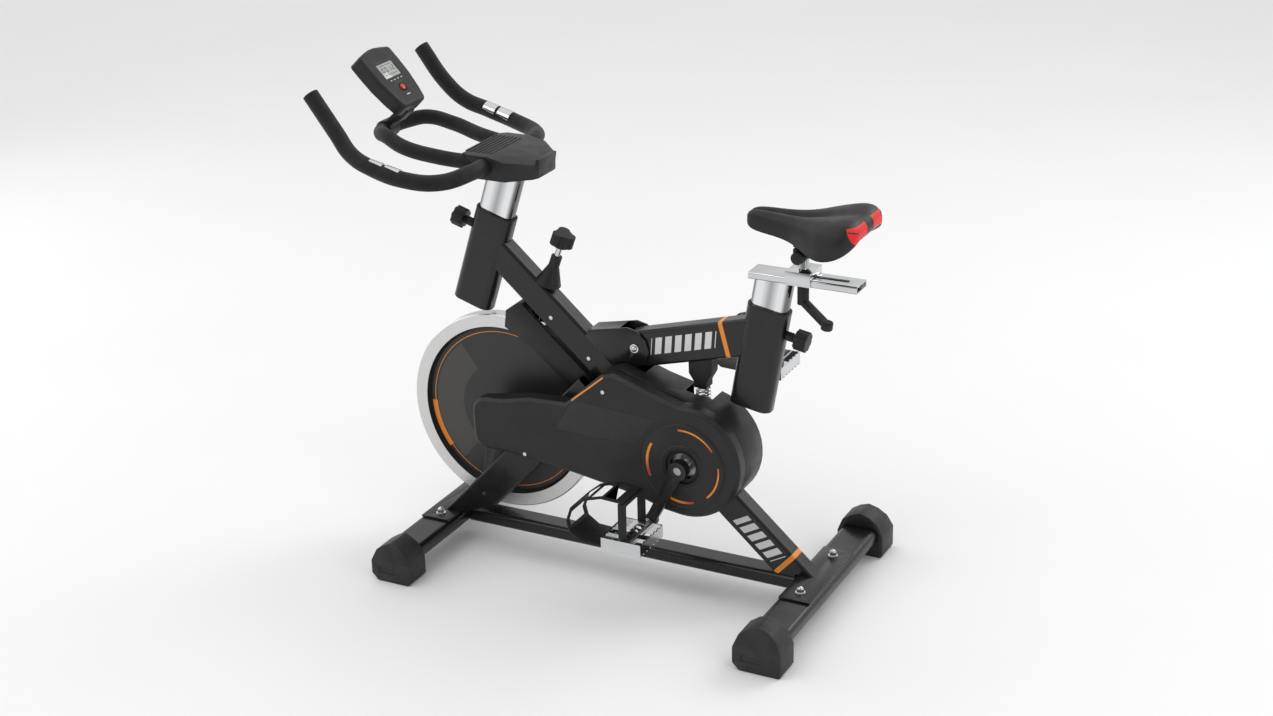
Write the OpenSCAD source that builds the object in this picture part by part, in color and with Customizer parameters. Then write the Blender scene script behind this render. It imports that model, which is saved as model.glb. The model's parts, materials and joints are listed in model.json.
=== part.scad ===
// Upright indoor exercise bike with a belt-driven flywheel and a sprung seat frame.
// Units are millimetres. X runs from the handlebar (-X) to the saddle (+X), Y from the
// rider's left (-Y) to the right (+Y), and Z is up from the floor. Y = 0 is the frame's
// middle plane.

/* [Base] */
// Length of the front stabiliser over its end caps
front_base_len = 554; // [520:1:600]
// Length of the rear stabiliser over its end caps
rear_base_len = 592; // [560:1:640]
// Middle of the front stabiliser
front_base_x = -378; // [-385:1:-372]
// Middle of the rear stabiliser
rear_base_x = 433; // [428:1:440]
// Width of a stabiliser tube
base_w = 76; // [70:1:80]
// Height of a stabiliser tube
base_h = 32; // [28:1:34]
// Floor to the underside of a stabiliser tube
base_z = 30; // [28:1:34]

/* [Frame] */
// Width across the main tube
main_w = 40; // [36:1:42]
// Depth of the main tube
main_h = 60; // [56:1:62]
// Slope of the main tube from level
main_slope = 41.9; // [41.5:0.1:42.3]
// Width of a fork leg seen from the side
fork_w = 68; // [60:1:70]
// Thickness of a fork leg across the bike
fork_t = 24; // [20:1:25]
// Lean of the head sleeve from upright
head_lean = 17.6; // [17:0.1:18]
// Lean of the seat sleeve from upright
seat_lean = 10.2; // [9.8:0.1:10.6]
// Slope of the top tube from level
top_slope = 15; // [14.5:0.1:15.5]

/* [Posts] */
// Long side of a post's section
post_w = 76; // [74:1:77]
// Short side of a post's section
post_t = 36; // [34:1:37]
// Wall of a post
post_wall = 2.2; // [1.8:0.1:2.6]
// Wall of a plastic liner
liner_wall = 2.2; // [2:0.1:2.4]
// Running gap between a post and its liner
post_gap = 0.08; // [0.06:0.01:0.1]
// Wall of a sleeve
sleeve_wall = 2.6; // [2.2:0.1:3]

/* [Drive] */
// Radius of the flywheel
flywheel_r = 210; // [205:1:212]
// Width of the flywheel's rim
flywheel_w = 30; // [26:1:32]
// Radius of the pulley on the flywheel shaft
small_r = 20; // [19:0.5:21]
// Radius of the pulley on the crank spindle
large_r = 84; // [80:1:86]
// Crank length from spindle to pedal
crank_len = 135; // [130:1:140]
// Width of the belt
belt_w = 14; // [12:1:14]

/* [Contact points] */
// Width of a pedal across the foot
pedal_w = 98; // [90:1:100]
// Length of a pedal along the foot
pedal_l = 84; // [80:1:90]
// Radius of the handlebar's steel tube
bar_r = 12.5; // [12:0.5:13]
// Radius over the foam of a grip
grip_r = 16; // [15.5:0.5:17]
// Length of the saddle
saddle_len = 252; // [246:1:262]
// Width of the saddle
saddle_w = 190; // [180:1:200]

/* [Hidden] */
$fn = 48;

weld = 0.05;                     // gap left between pieces that touch
ball = 0.15;                     // how far a bent bar's ball corners stand proud
floor_top = base_z + base_h;     // top of the stabiliser tubes
plate_t = 4;                     // foot plates
beam_w = 52;
beam_h = 29;

main_at = [-248, 0, 636.7];      // a point on the main tube's centre line
main_start = -30;                // along that line, inside the head sleeve
main_end = 930;

sleeve_w = post_w + 2 * (post_gap + liner_wall + sleeve_wall);
sleeve_t = post_t + 2 * (post_gap + liner_wall + sleeve_wall);
sleeve_r = sleeve_t * 0.42;
head_at = [-316, 0, 524.1];      // bottom of the head sleeve's axis
head_len = 203;
seat_at = [294.4, 0, 403];       // bottom of the seat sleeve's axis
seat_len = 207;
head_post_len = 312;
seat_post_len = 256;
post_foot = 8;                   // a post's bottom end above its sleeve's

axle = [-251, 0, 296];           // flywheel centre
crank = [190, 0, 290];           // crank centre
crank_turn = 242.4;              // direction of the left crank in the XZ plane
fork_at = [-281, 0, 122];        // a point on the fork leg's centre line
fork_slope = 47.1;
fork_y = 33;                     // inner face of a fork leg
pulley_y = -72;                  // middle of the belt
cover_y = -92;                   // outer face of the belt cover
cover_back = -61;                // where the two covers meet
cover_far = 22;
cover_wall = 3;
cover_c = [192, 297];
cover_r = 116;
nose_c = [-222, 298];
nose_r = 60;

pivot = [56, 0, 488];            // seat frame hinge
top_h = 74;
top_w = 38;
shock_x = 192;
shock_low = 386;                 // seat of the spring
shock_high = 424;

bar_z = 668;                     // underside of the slider bar
bar_t = 14;
slider_w = 50;
slider_x = [297, 513];
stem_x = 398;                    // clamp bolt of the saddle carriage
saddle_x = 285;                  // front tip of the saddle

pedal_y = 191;                   // middle of a pedal from the middle plane
pad_gap = 3;                     // brake pad to flywheel
brake_turn = 69.8;               // direction of the brake rod in the XZ plane

console_low = [-428, 0, 923];    // lower edge of the console's face
console_len = 130;
console_w = 104;
console_t = 30;
console_tilt = 45.7;             // face direction from level, towards -X

centre_x = 8.15;                 // puts the origin under the middle of the overall length

function side(a) = [cos(a), 0, sin(a)];
left_pedal = crank + crank_len * side(crank_turn);
right_pedal = crank - crank_len * side(crank_turn);

// Corner points of a rounded rectangle centred on the origin
function rounded(w, h, r, n = 8) = [
    for (q = [0:3]) for (i = [0:n])
        let (a = 90 * q + 90 * i / n,
             sx = (q == 0 || q == 3) ? 1 : -1,
             sy = (q < 2) ? 1 : -1)
        [sx * (w / 2 - r) + r * cos(a), sy * (h / 2 - r) + r * sin(a)]
];

// Bar of rounded section along local Z, bored out when wall > 0
module profile(w, h, r, len, wall = 0) {
    difference() {
        linear_extrude(len) polygon(rounded(w, h, r));
        if (wall > 0)
            translate([0, 0, -1])
                linear_extrude(len + 2) polygon(rounded(w - 2 * wall, h - 2 * wall, r - wall));
    }
}

// Local Z leans towards +X by a
module lean(at, a) {
    translate(at) rotate([0, a, 0]) children();
}

// Cylinder along Y between two y values
module across(at, r, y0, y1) {
    translate([at[0], y0, at[2]]) rotate([-90, 0, 0]) cylinder(r = r, h = y1 - y0);
}

// Outline in XZ given depth from y0 to y1
module slab(y0, y1) {
    translate([0, y1, 0]) rotate([90, 0, 0]) linear_extrude(y1 - y0) children();
}

module both_sides() {
    children();
    mirror([0, 1, 0]) children();
}

// Round bar through a list of points, with ball corners
module rod(pts, r) {
    for (i = [0:len(pts) - 2]) {
        v = pts[i + 1] - pts[i];
        translate(pts[i])
            rotate([0, acos(v[2] / norm(v)), atan2(v[1], v[0])])
                cylinder(r = r, h = norm(v), $fn = 32);
    }
    if (len(pts) > 2)
        for (i = [1:len(pts) - 2]) corner(pts[i - 1], pts[i], pts[i + 1], r + ball);
}

// Ball where two stretches of a bar meet at b, its poles along the bar
module corner(a, b, c, r) {
    u = (b - a) / norm(b - a);
    v = (c - b) / norm(c - b);
    z = (u + v) / norm(u + v);
    x = (v - u) / norm(v - u);
    y = cross(z, x);
    multmatrix([
        [x[0], y[0], z[0], b[0]], [x[1], y[1], z[1], b[1]], [x[2], y[2], z[2], b[2]], [0, 0, 0, 1]
    ]) sphere(r = r, $fn = 32);
}

// ---------------------------------------------------------------- base

module stabiliser(x, len) {
    translate([x, -len / 2 + 22, base_z + base_h / 2])
        rotate([-90, 0, 0]) profile(base_w, base_h, 13, len - 44, 2);
}

module front_stabiliser() {
    color([0.12, 0.12, 0.12]) difference() {
        stabiliser(front_base_x, front_base_len);
        bolt_holes(front_base_x, front_bolt_y);
    }
}

module rear_stabiliser() {
    color([0.12, 0.12, 0.12]) difference() {
        stabiliser(rear_base_x, rear_base_len);
        bolt_holes(rear_base_x, rear_bolt_y);
    }
}

front_bolt_y = 76;
rear_bolt_y = 84;
bolt_r = 4;

module bolt_holes(x, y) {
    both_sides() translate([x, y, 0]) cylinder(r = bolt_r + 0.25, h = floor_top + 20);
}

// End cap with an arched top and cut corners, pushed over the tube's end
module end_cap(x, len, w, h) {
    depth = 64;
    inset = 30;
    y0 = -len / 2;
    difference() {
        slab(y0, y0 + depth)
            translate([x, 0]) polygon([
                [-w / 2 + 14, 0], [w / 2 - 4, 0], [w / 2, 4], [w / 2, h * 0.5],
                [w / 2 - 12, h * 0.78], [w / 2 - 30, h * 0.93], [0, h], [-w / 2 + 30, h * 0.93],
                [-w / 2 + 10, h * 0.78], [-w / 2, h * 0.5], [-w / 2, 14]
            ]);
        translate([x - w, y0 - 1, h * 0.5]) rotate([-16, 0, 0])
            translate([0, -40, 0]) cube([2 * w, 40, h]);
        translate([x, y0 + depth - inset - 12, base_z + base_h / 2])
            rotate([-90, 0, 0]) profile(base_w + 2 * weld, base_h + 2 * weld, 13, 80);
        translate([x - w / 2 + 18, y0 - 1, h * 0.22]) cube([w * 0.42, 3, 13]);
    }
}

module stabiliser_caps() {
    color([0.16, 0.16, 0.16]) both_sides() {
        end_cap(front_base_x, front_base_len, 88, 84);
        end_cap(rear_base_x, rear_base_len, 98, 92);
    }
}

module ground_beam() {
    x0 = front_base_x + base_w / 2 + weld;
    x1 = rear_base_x - base_w / 2 - weld;
    color([0.1, 0.1, 0.1]) {
        translate([x0, 0, base_z + 2 + beam_h / 2])
            rotate([0, 90, 0]) profile(beam_h, beam_w, 10, x1 - x0, 1.8);
    }
}

module foot_plates() {
    color([0.1, 0.1, 0.1]) difference() {
        union() {
            translate([front_base_x - 32, -100, floor_top + weld]) cube([64, 200, plate_t]);
            translate([rear_base_x - 32, -116, floor_top + weld]) cube([64, 232, plate_t]);
        }
        bolt_holes(front_base_x, front_bolt_y);
        bolt_holes(rear_base_x, rear_bolt_y);
    }
}

// Carriage bolt, washer and dome nut
module dome_nut() {
    z = floor_top + weld + plate_t + weld;
    translate([0, 0, base_z - 5]) cylinder(r = bolt_r, h = z - base_z + 5);
    translate([0, 0, base_z - 7]) cylinder(r = 9, h = 7 - weld);
    translate([0, 0, z]) cylinder(r = 10, h = 2);
    translate([0, 0, z + 2]) cylinder(r = 7.5, h = 7, $fn = 6);
    translate([0, 0, z + 8]) sphere(r = 6);
}

module stabiliser_nuts() {
    color([0.75, 0.75, 0.75]) both_sides() {
        translate([front_base_x, front_bolt_y, 0]) dome_nut();
        translate([rear_base_x, rear_bolt_y, 0]) dome_nut();
    }
}

// ---------------------------------------------------------------- frame

module main_axis() {
    translate(main_at) rotate([0, 90 + main_slope, 0]) children();
}

module main_solid(grow = 0) {
    main_axis() translate([0, 0, main_start])
        profile(main_h + 2 * grow, main_w + 2 * grow, 7, main_end);
}

module sleeve_solid(at, a, len, grow = 0) {
    lean(at, a) profile(sleeve_w + 2 * grow, sleeve_t + 2 * grow, sleeve_r, len);
}

module main_tube() {
    color([0.13, 0.13, 0.13]) difference() {
        main_axis() translate([0, 0, main_start]) profile(main_h, main_w, 7, main_end, 2);
        sleeve_solid(head_at, head_lean, head_len, weld);
        translate([0, -60, -60]) cube([600, 120, 60 + base_z + 2 + beam_h + weld]);
        translate([rear_base_x - base_w / 2 - 0.5, -60, -60])
            cube([200, 120, 60 + floor_top + plate_t + 2 * weld]);
        across(crank, shell_r + weld, -60, 60);
        brake_bore(13);
    }
}

module sleeve(at, a, len, pin_side) {
    difference() {
        lean(at, a) profile(sleeve_w, sleeve_t, sleeve_r, len, sleeve_wall);
        lean(at, a) translate([0, 0, len - pin_drop])
            rotate([0, 90 * pin_side, 0]) cylinder(r = pin_r + 1, h = 80);
    }
}

// Plastic bush lining a sleeve, with a thin collar on its top edge
module liner(at, a, len, pin_side) {
    w = post_w + 2 * (post_gap + liner_wall);
    t = post_t + 2 * (post_gap + liner_wall);
    r = t * 0.42;
    difference() {
        lean(at, a) union() {
            translate([0, 0, len * 0.35]) profile(w - 2 * weld, t - 2 * weld, r, len * 0.65 + 1);
            translate([0, 0, len + weld]) profile(sleeve_w, sleeve_t, sleeve_r, 3);
        }
        lean(at, a) translate([0, 0, -1])
            profile(post_w + 2 * post_gap, post_t + 2 * post_gap, post_r + post_gap, len + 20);
        lean(at, a) translate([0, 0, len - pin_drop])
            rotate([0, 90 * pin_side, 0]) cylinder(r = pin_r + 0.3, h = 80);
    }
}

pin_r = 5;
pin_drop = 44;                   // sleeve's top to the locking pin
post_r = post_t * 0.42;

module head_sleeve() {
    color([0.13, 0.13, 0.13]) sleeve(head_at, head_lean, head_len, -1);
}

module head_liner() {
    color([0.2, 0.2, 0.2]) liner(head_at, head_lean, head_len, -1);
}

module fork_axis() {
    translate(fork_at) rotate([0, 90 - fork_slope, 0]) children();
}

module fork_leg() {
    low = floor_top + plate_t + 2 * weld;
    difference() {
        fork_axis() translate([0, fork_y + fork_t / 2, -140])
            profile(fork_w, fork_t, 5, 140 + 372, 2);
        translate([-600, 0, low - 200]) cube([600, 200, 200]);
        translate([front_base_x + base_w / 2, 0, low])
            rotate([0, -22, 0]) translate([0, 0, -200]) cube([200, 200, 200]);
    }
}

module fork_leg_right() {
    color([0.1, 0.1, 0.1]) fork_leg();
}

module fork_leg_left() {
    color([0.1, 0.1, 0.1]) mirror([0, 1, 0]) fork_leg();
}

// Square tube between the legs, under the main tube
module fork_bridge() {
    s = 28;
    color([0.1, 0.1, 0.1]) main_axis()
        translate([main_h / 2 + s / 2 + weld, 0, 348]) rotate([-90, 0, 0])
            translate([0, 0, -fork_y + weld]) difference() {
                linear_extrude(2 * (fork_y - weld)) square([s, s], center = true);
                translate([0, 0, -1]) linear_extrude(2 * fork_y + 2)
                    square([s - 5, s - 5], center = true);
            }
}

bearing_r = 16;
shaft_r = 6;
drop_y = 26;
drop_t = 6.8;

module dropout_plates() {
    color([0.1, 0.1, 0.1]) both_sides() difference() {
        slab(drop_y, drop_y + drop_t) polygon([
            [-276, 305], [-268, 320], [-251, 326], [-232, 320], [-222, 305],
            [-168, 270], [-190, 190], [-262, 118], [-300, 130], [-284, 250]
        ]);
        across(axle, bearing_r + weld, 0, 80);
    }
}

module bearing(at, y0, y1, ro, ri) {
    difference() {
        across(at, ro, y0, y1);
        across(at, ri, y0 - 1, y1 + 1);
        difference() {
            across(at, ro * 0.84, y0 - 1, y0 + 0.8);
            across(at, (ro * 0.7 + ri * 0.3), y0 - 2, y0 + 2);
        }
    }
}

shell_r = 22;
shell_y = 36;
cup_r = 18;
spindle_r = 8.5;

module bottom_bracket() {
    color([0.13, 0.13, 0.13]) difference() {
        across(crank, shell_r, -shell_y, shell_y);
        across(crank, cup_r + weld, -shell_y - 1, shell_y + 1);
    }
}

module bearings() {
    color([0.7, 0.7, 0.7]) both_sides() {
        bearing(axle, drop_y - 1, drop_y + drop_t + 1, bearing_r, shaft_r + 0.06);
        bearing(crank, shell_y - 13, shell_y, cup_r, spindle_r + 0.06);
    }
}

module pivot_bracket() {
    inner = top_w / 2 + 0.6;
    outer = inner + 4;
    color([0.12, 0.12, 0.12]) difference() {
        union() {
            both_sides() slab(inner, outer) polygon([
                [-52, 496], [-46, 510], [40, 528], [62, 523], [80, 506], [86, 484],
                [80, 462], [60, 449], [34, 446], [10, 440]
            ]);
            slab(-inner - 0.01, inner + 0.01)
                polygon([[-50, 501], [-46, 510], [22, 524], [22, 520]]);
        }
        main_solid(weld);
        across(pivot, 6.05, -60, 60);
    }
}

// Pin with a dome head on each side
module pivot_bolt() {
    y = top_w / 2 + 0.6 + 4 + weld;
    color([0.8, 0.8, 0.8]) {
        across(pivot, 6, -y, y);
        both_sides() {
            across(pivot, 9, y, y + 2);
            translate([pivot[0], y + 2, pivot[2]]) sphere(r = 6.5);
        }
    }
}

// ---------------------------------------------------------------- covers

// Side outline of the belt cover
module cover_outline(shrink = 0) {
    nose = nose_r - shrink;
    tail = cover_r - shrink;
    s = shrink;
    polygon(concat(
        [for (a = [100:12:244]) nose_c + nose * [cos(a), sin(a)]],
        [[-203, 245 + s], [-51, 226 + s], [88, 204 + s], [140, 187 + s]],
        [for (a = [-100:8:96]) cover_c + tail * [cos(a), sin(a)]],
        [[110, 432 - s], [40, 456 - s], [12, 448 - s], [-66, 376 - s], [-150, 372 - s]]
    ));
}

module belt_cover_outer() {
    color([0.17, 0.17, 0.17]) difference() {
        union() {
            slab(cover_y, cover_back) cover_outline();
            slab(cover_y - 3, cover_y + 1) translate([crank[0], crank[2]]) circle(r = 88);
        }
        slab(cover_y + cover_wall, cover_back + 1) cover_outline(cover_wall);
        across(crank, 30, cover_y - 9, cover_back);
        slab(cover_y - 5, cover_y - 1.4) translate([crank[0], crank[2]]) circle(r = 36);
    }
}

// Rear half: a back plate, and a hood that wraps the main tube around the crank
module belt_cover_inner() {
    color([0.15, 0.15, 0.15]) difference() {
        union() {
            difference() {
                slab(cover_back + weld, cover_back + 2.5) cover_outline();
                across(axle, 24, -90, 0);
            }
            intersection() {
                slab(cover_back + weld, cover_far) cover_outline();
                translate([-2, -200, 0]) cube([400, 400, 600]);
            }
        }
        intersection() {
            slab(cover_back + 2.5, cover_far - cover_wall) cover_outline(cover_wall);
            translate([1, -200, 0]) cube([400, 400, 600]);
        }
        main_solid(0.6);
        across(crank, shell_r + 1, -90, 60);
        translate([shock_x - 30, -23, 372]) cube([60, 46, 80]);
        bridge_room();
        fork_room();
        bracket_room();
    }
}

module bridge_room() {
    main_axis() translate([main_h / 2 + 14, 0, 348]) cube([36, 2 * fork_y + 2, 32], center = true);
}

module fork_room() {
    both_sides() fork_axis() translate([0, fork_y + fork_t / 2, 120])
        profile(fork_w + 2, fork_t + 2, 5, 270);
}

module bracket_room() {
    translate([-50, -26, 440]) cube([140, 52, 60]);
}

// Side outline of the guard, from the head sleeve down under the main tube
module guard_outline(shrink = 0) {
    s = shrink;
    polygon([
        [-236 + s, 486 - 4 * s], [-232 + s, 522], [-207 + s, 541 - 1.5 * s], [-196, 541 - 1.5 * s],
        [-44, 405 - 1.5 * s], [-44, 352 - 9 * s], [-84, 352 - 9 * s], [-112, 396 - 6 * s],
        [-176, 452 - 6 * s]
    ]);
}

// Moulded cover over the top rear of the flywheel, open towards the wheel
module flywheel_guard() {
    w = flywheel_w / 2 + 4;
    color([0.16, 0.16, 0.16]) difference() {
        slab(-w - 2.5, w + 2.5) guard_outline();
        slab(-w, w) guard_outline(2.5);
        across(axle, flywheel_r + 4, -w, w);
        brake_bore(14);
        brake_axis() translate([-27, -13, 200]) cube([54, 26, 40]);
        main_solid(0.5);
        sleeve_solid(head_at, head_lean, head_len, 0.5);
        bridge_room();
    }
}

// Small bright screws that hold the covers and the leg trims
module cover_screws() {
    color([0.85, 0.85, 0.85]) {
        for (p = [[20, 416], [-160, 250]])
            translate([p[0], cover_y - 0.05, p[1]]) rotate([90, 0, 0]) cylinder(r = 4, h = 2);
        for (t = [0, 152])
            both_sides() fork_axis() translate([0, fork_y + fork_t + weld, t])
                rotate([-90, 0, 0]) cylinder(r = 4, h = 2);
        for (t = [165, 275])
            both_sides() main_axis() translate([6, main_w / 2 + weld, t])
                rotate([-90, 0, 0]) cylinder(r = 4, h = 2);
    }
}

// ---------------------------------------------------------------- drive

module flywheel() {
    color([0.75, 0.75, 0.76]) translate(axle) rotate([90, 0, 0]) rotate_extrude($fn = 128)
        polygon([
            [shaft_r + weld, -22], [26, -22], [30, -7], [178, -4], [183, -15],
            [flywheel_r - 2, -15], [flywheel_r, -13], [flywheel_r, 13], [flywheel_r - 2, 15],
            [183, 15], [178, 4], [30, 7], [26, 22], [shaft_r + weld, 22]
        ]);
}

module flywheel_shaft() {
    color([0.7, 0.7, 0.7]) {
        across(axle, shaft_r, pulley_y - belt_w / 2 - 5, 42);
    }
}

// Grooved pulley with flanges
module pulley(at, r, bore) {
    hub = belt_w / 2 + 2;
    translate([at[0], pulley_y, at[2]]) rotate([90, 0, 0]) rotate_extrude($fn = 96)
        polygon(concat(
            [[bore, -hub], [r + 1.5, -hub], [r + 1.5, -belt_w / 2 - 0.4],
                [r - 0.2, -belt_w / 2 - 0.4]],
            [for (i = [0:5]) for (e = [[0, 0], [1.2, -1.6]])
                [r + e[1] - 0.2, -belt_w / 2 + 0.4 + (i + e[0] / 2.4) * (belt_w - 0.8) / 6]],
            [[r - 0.2, belt_w / 2 + 0.4], [r + 1.5, belt_w / 2 + 0.4], [r + 1.5, hub], [bore, hub]]
        ));
}

module flywheel_pulley() {
    color([0.6, 0.6, 0.6]) pulley(axle, small_r, shaft_r + weld);
}

module crank_pulley() {
    color([0.25, 0.25, 0.25]) difference() {
        pulley(crank, large_r, spindle_r + weld);
        for (a = [30:60:330])
            across(crank + 52 * side(a), 17, -90, -50);
    }
}

// Flat loop with its ribs left off, just clear of both pulleys
module drive_belt() {
    gap = 0.35;
    t = 2.6;
    v = crank - axle;
    d = norm(v);
    tilt = atan2(v[2], v[0]);
    spread = acos((small_r - large_r) / d);
    color([0.06, 0.06, 0.06]) slab(pulley_y - belt_w / 2, pulley_y + belt_w / 2) difference() {
        belt_loop(gap + t, tilt, spread);
        belt_loop(gap, tilt, spread);
    }
}

module belt_loop(e, tilt, spread) {
    polygon(concat(
        [for (i = [0:24]) let (a = tilt + spread + (360 - 2 * spread) * i / 24)
            [axle[0], axle[2]] + (small_r + e) * [cos(a), sin(a)]],
        [for (i = [0:60]) let (a = tilt - spread + 2 * spread * i / 60)
            [crank[0], crank[2]] + (large_r + e) * [cos(a), sin(a)]]
    ));
}

module crank_spindle() {
    color([0.6, 0.6, 0.6]) {
        across(crank, spindle_r, -118, 118);
    }
}

arm_y = 100;                     // inner face of a crank arm
arm_t = 16;

module crank_arm(turn) {
    far = crank + crank_len * side(turn);
    difference() {
        union() {
            across(crank, 19, arm_y, arm_y + arm_t + 4);
            across(far, 14, arm_y, arm_y + arm_t);
            slab(arm_y, arm_y + arm_t) polygon([
                for (e = [[0, 13], [crank_len, 10], [crank_len, -10], [0, -13]])
                    [crank[0], crank[2]] + e[0] * [cos(turn), sin(turn)]
                        + e[1] * [-sin(turn), cos(turn)]
            ]);
        }
        across(crank, spindle_r + weld, 90, 150);
        across(far, 7 + weld, 90, 150);
    }
}

module crank_arm_left() {
    color([0.12, 0.12, 0.12]) mirror([0, 1, 0]) crank_arm(crank_turn);
}

module crank_arm_right() {
    color([0.12, 0.12, 0.12]) crank_arm(crank_turn + 180);
}

module pedal_spindles() {
    color([0.7, 0.7, 0.7]) for (s = [[left_pedal, -1], [right_pedal, 1]])
        mirror([0, s[1] < 0 ? 1 : 0, 0]) {
            across(s[0], 7, arm_y, arm_y + arm_t + 6);
            across(s[0], 9, arm_y + arm_t + weld, arm_y + arm_t + 6);
            across(s[0], 5, arm_y + arm_t, pedal_y + pedal_w / 2 - 8);
        }
}

// Toothed steel cage around a barrel, centred on the pedal spindle
module pedal(at) {
    l = pedal_l;
    w = pedal_w;
    h = 26;
    t = 2.5;
    y0 = pedal_y - w / 2;
    difference() {
        union() {
            translate([at[0] - l / 2, y0, at[2] - h / 2]) difference() {
                cube([l, w, h]);
                translate([t, t, -1]) cube([l - 2 * t, w - 2 * t, h + 2]);
            }
            across(at, 13, y0 + 0.5, y0 + w - 0.5);
            translate([at[0] - l / 2 + 1, pedal_y - 8, at[2] - 4]) cube([l - 2, 16, 8]);
        }
        across(at, 5.06, y0 - 1, y0 + w - 7);
        across(at, 10.5, y0 - 5, y0 + 3);
        for (i = [0:5], k = [-1, 1])
            translate([at[0], y0 + 12 + i * (w - 24) / 5, at[2] + k * (h / 2 + 1)])
                rotate([0, 90, 0]) translate([0, 0, -l / 2 - 1])
                    cylinder(r = 5, h = l + 2, $fn = 6);
    }
}

module pedal_left() {
    color([0.8, 0.8, 0.8]) mirror([0, 1, 0]) pedal(left_pedal);
}

module pedal_right() {
    color([0.8, 0.8, 0.8]) pedal(right_pedal);
}

// Moulded toe basket with a strap hoop over the instep
module toe_cage(at) {
    w = 80;
    t = 2.6;
    y0 = pedal_y - w / 2;
    x0 = at[0] - pedal_l / 2 - 0.1;
    difference() {
        translate([x0, 0, at[2]]) slab(y0, y0 + w) difference() {
            polygon([[0, -12], [-50, -10], [-74, 6], [-80, 28], [-70, 58], [-44, 80], [-4, 92],
                [44, 90], [44, 90 - t], [-3, 92 - t], [-42, 80 - t], [-68, 57], [-77, 28],
                [-72, 8], [-49, -10 + t], [-t, -12 + t], [-t, 12], [0, 12]]);
        }
        for (x = [-62, -30])
            translate([x0 + x, y0 + 10, at[2] + 40]) cube([26, 60, 80]);
        translate([x0 + 2, y0 + 10, at[2] + 70]) cube([24, 60, 40]);
        translate([x0 - 90, y0 + 12, at[2] + 14]) cube([30, 56, 30]);
    }
    translate([at[0] - 8, 0, at[2]]) difference() {
        translate([0, pedal_y - w / 2 - 2, 13.1]) cube([18, w + 4, 74]);
        translate([-1, pedal_y - w / 2, 10]) cube([20, w, 74.6]);
    }
}

module toe_cage_left() {
    color([0.08, 0.08, 0.08]) mirror([0, 1, 0]) toe_cage(left_pedal);
}

module toe_cage_right() {
    color([0.08, 0.08, 0.08]) toe_cage(right_pedal);
}

// ---------------------------------------------------------------- seat frame

module top_axis() {
    translate(pivot) rotate([0, 90 - top_slope, 0]) children();
}

module top_tube() {
    len = 290;
    color([0.13, 0.13, 0.13]) difference() {
        intersection() {
            top_axis() translate([5, 0, -26]) profile(top_h, top_w, 6, len, 2);
            union() {
                top_axis() translate([0, -40, 0]) cube([100, 80, len], center = false);
                top_axis() translate([-100, -40, 0]) cube([200, 80, len]);
                across(pivot, 30, -40, 40);
            }
        }
        sleeve_solid(seat_at, seat_lean, seat_len, weld);
        lean(seat_at, seat_lean) translate([0, -50, -50]) cube([200, 100, 400]);
        across(pivot, pivot_bush_r, -40, 40);
    }
    color([0.3, 0.3, 0.3]) difference() {
        across(pivot, pivot_bush_r - weld, -top_w / 2, top_w / 2);
        across(pivot, 6.06, -40, 40);
    }
}

pivot_bush_r = 11;

module seat_sleeve() {
    color([0.13, 0.13, 0.13]) sleeve(seat_at, seat_lean, seat_len, 1);
}

module seat_liner() {
    color([0.2, 0.2, 0.2]) liner(seat_at, seat_lean, seat_len, 1);
}

// Tapered block under the top tube that carries the top of the spring
module shock_bracket() {
    color([0.1, 0.1, 0.1]) difference() {
        slab(-15, 15) polygon([[shock_x - 26, 520], [shock_x - 24, 452], [shock_x - 13, 436],
            [shock_x - 13, shock_high], [shock_x + 13, shock_high], [shock_x + 13, 436],
            [shock_x + 24, 456], [shock_x + 26, 520]]);
        top_axis() translate([5, 0, -26]) profile(top_h + 2 * weld, top_w + 2 * weld, 6, 300);
        top_axis() translate([-200, -50, -26]) cube([200, 100, 300]);
    }
}

module shock_base() {
    color([0.08, 0.08, 0.08]) difference() {
        union() {
            translate([shock_x, 0, shock_low - 12]) cylinder(r = 20, h = 8);
            translate([shock_x, 0, shock_low - 4]) cylinder(r = 16, h = 4);
            translate([shock_x - 12, -12, 300]) cube([24, 24, shock_low - 312]);
        }
        main_solid(weld);
        across(crank, shell_r + weld, -60, 60);
    }
}

// Ribbed spring sleeve between the base and the bracket
module shock_spring() {
    n = 5;
    h = shock_high - shock_low - 0.6;
    color([0.8, 0.8, 0.8]) translate([shock_x, 0, shock_low + 0.3]) rotate_extrude()
        polygon(concat(
            [[7, 0]],
            [for (i = [0:n - 1]) for (e = [[0, 12], [0.35, 15], [0.65, 15], [1, 12]])
                [e[1], (i + e[0]) * h / n]],
            [[7, h]]
        ));
}

module post(at, a, len) {
    lean(at, a) translate([0, 0, post_foot]) difference() {
        profile(post_w, post_t, post_r, len, post_wall);
        children();
    }
}

// Row of index holes along one narrow face
module index_holes(from, pin_side) {
    for (i = [0:4])
        translate([0, 0, from - 26 * i]) rotate([0, 90 * pin_side, 0])
            cylinder(r = pin_r + 0.6, h = 60);
}

module seat_post() {
    color([0.85, 0.85, 0.85]) difference() {
        post(seat_at, seat_lean, seat_post_len + 40)
            index_holes(seat_len - pin_drop - post_foot, 1);
        translate([200, -60, bar_z - weld]) cube([300, 120, 200]);
    }
}

module slider_bar() {
    color([0.85, 0.85, 0.85]) difference() {
        translate([slider_x[0], 0, bar_z + bar_t / 2])
            rotate([0, 90, 0]) profile(bar_t, slider_w, 3, slider_x[1] - slider_x[0], 2.4);
        hull() for (x = [stem_x, stem_x + 86])
            translate([x, 0, bar_z - 5]) cylinder(r = 5.6, h = bar_t + 10);
    }
}

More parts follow.
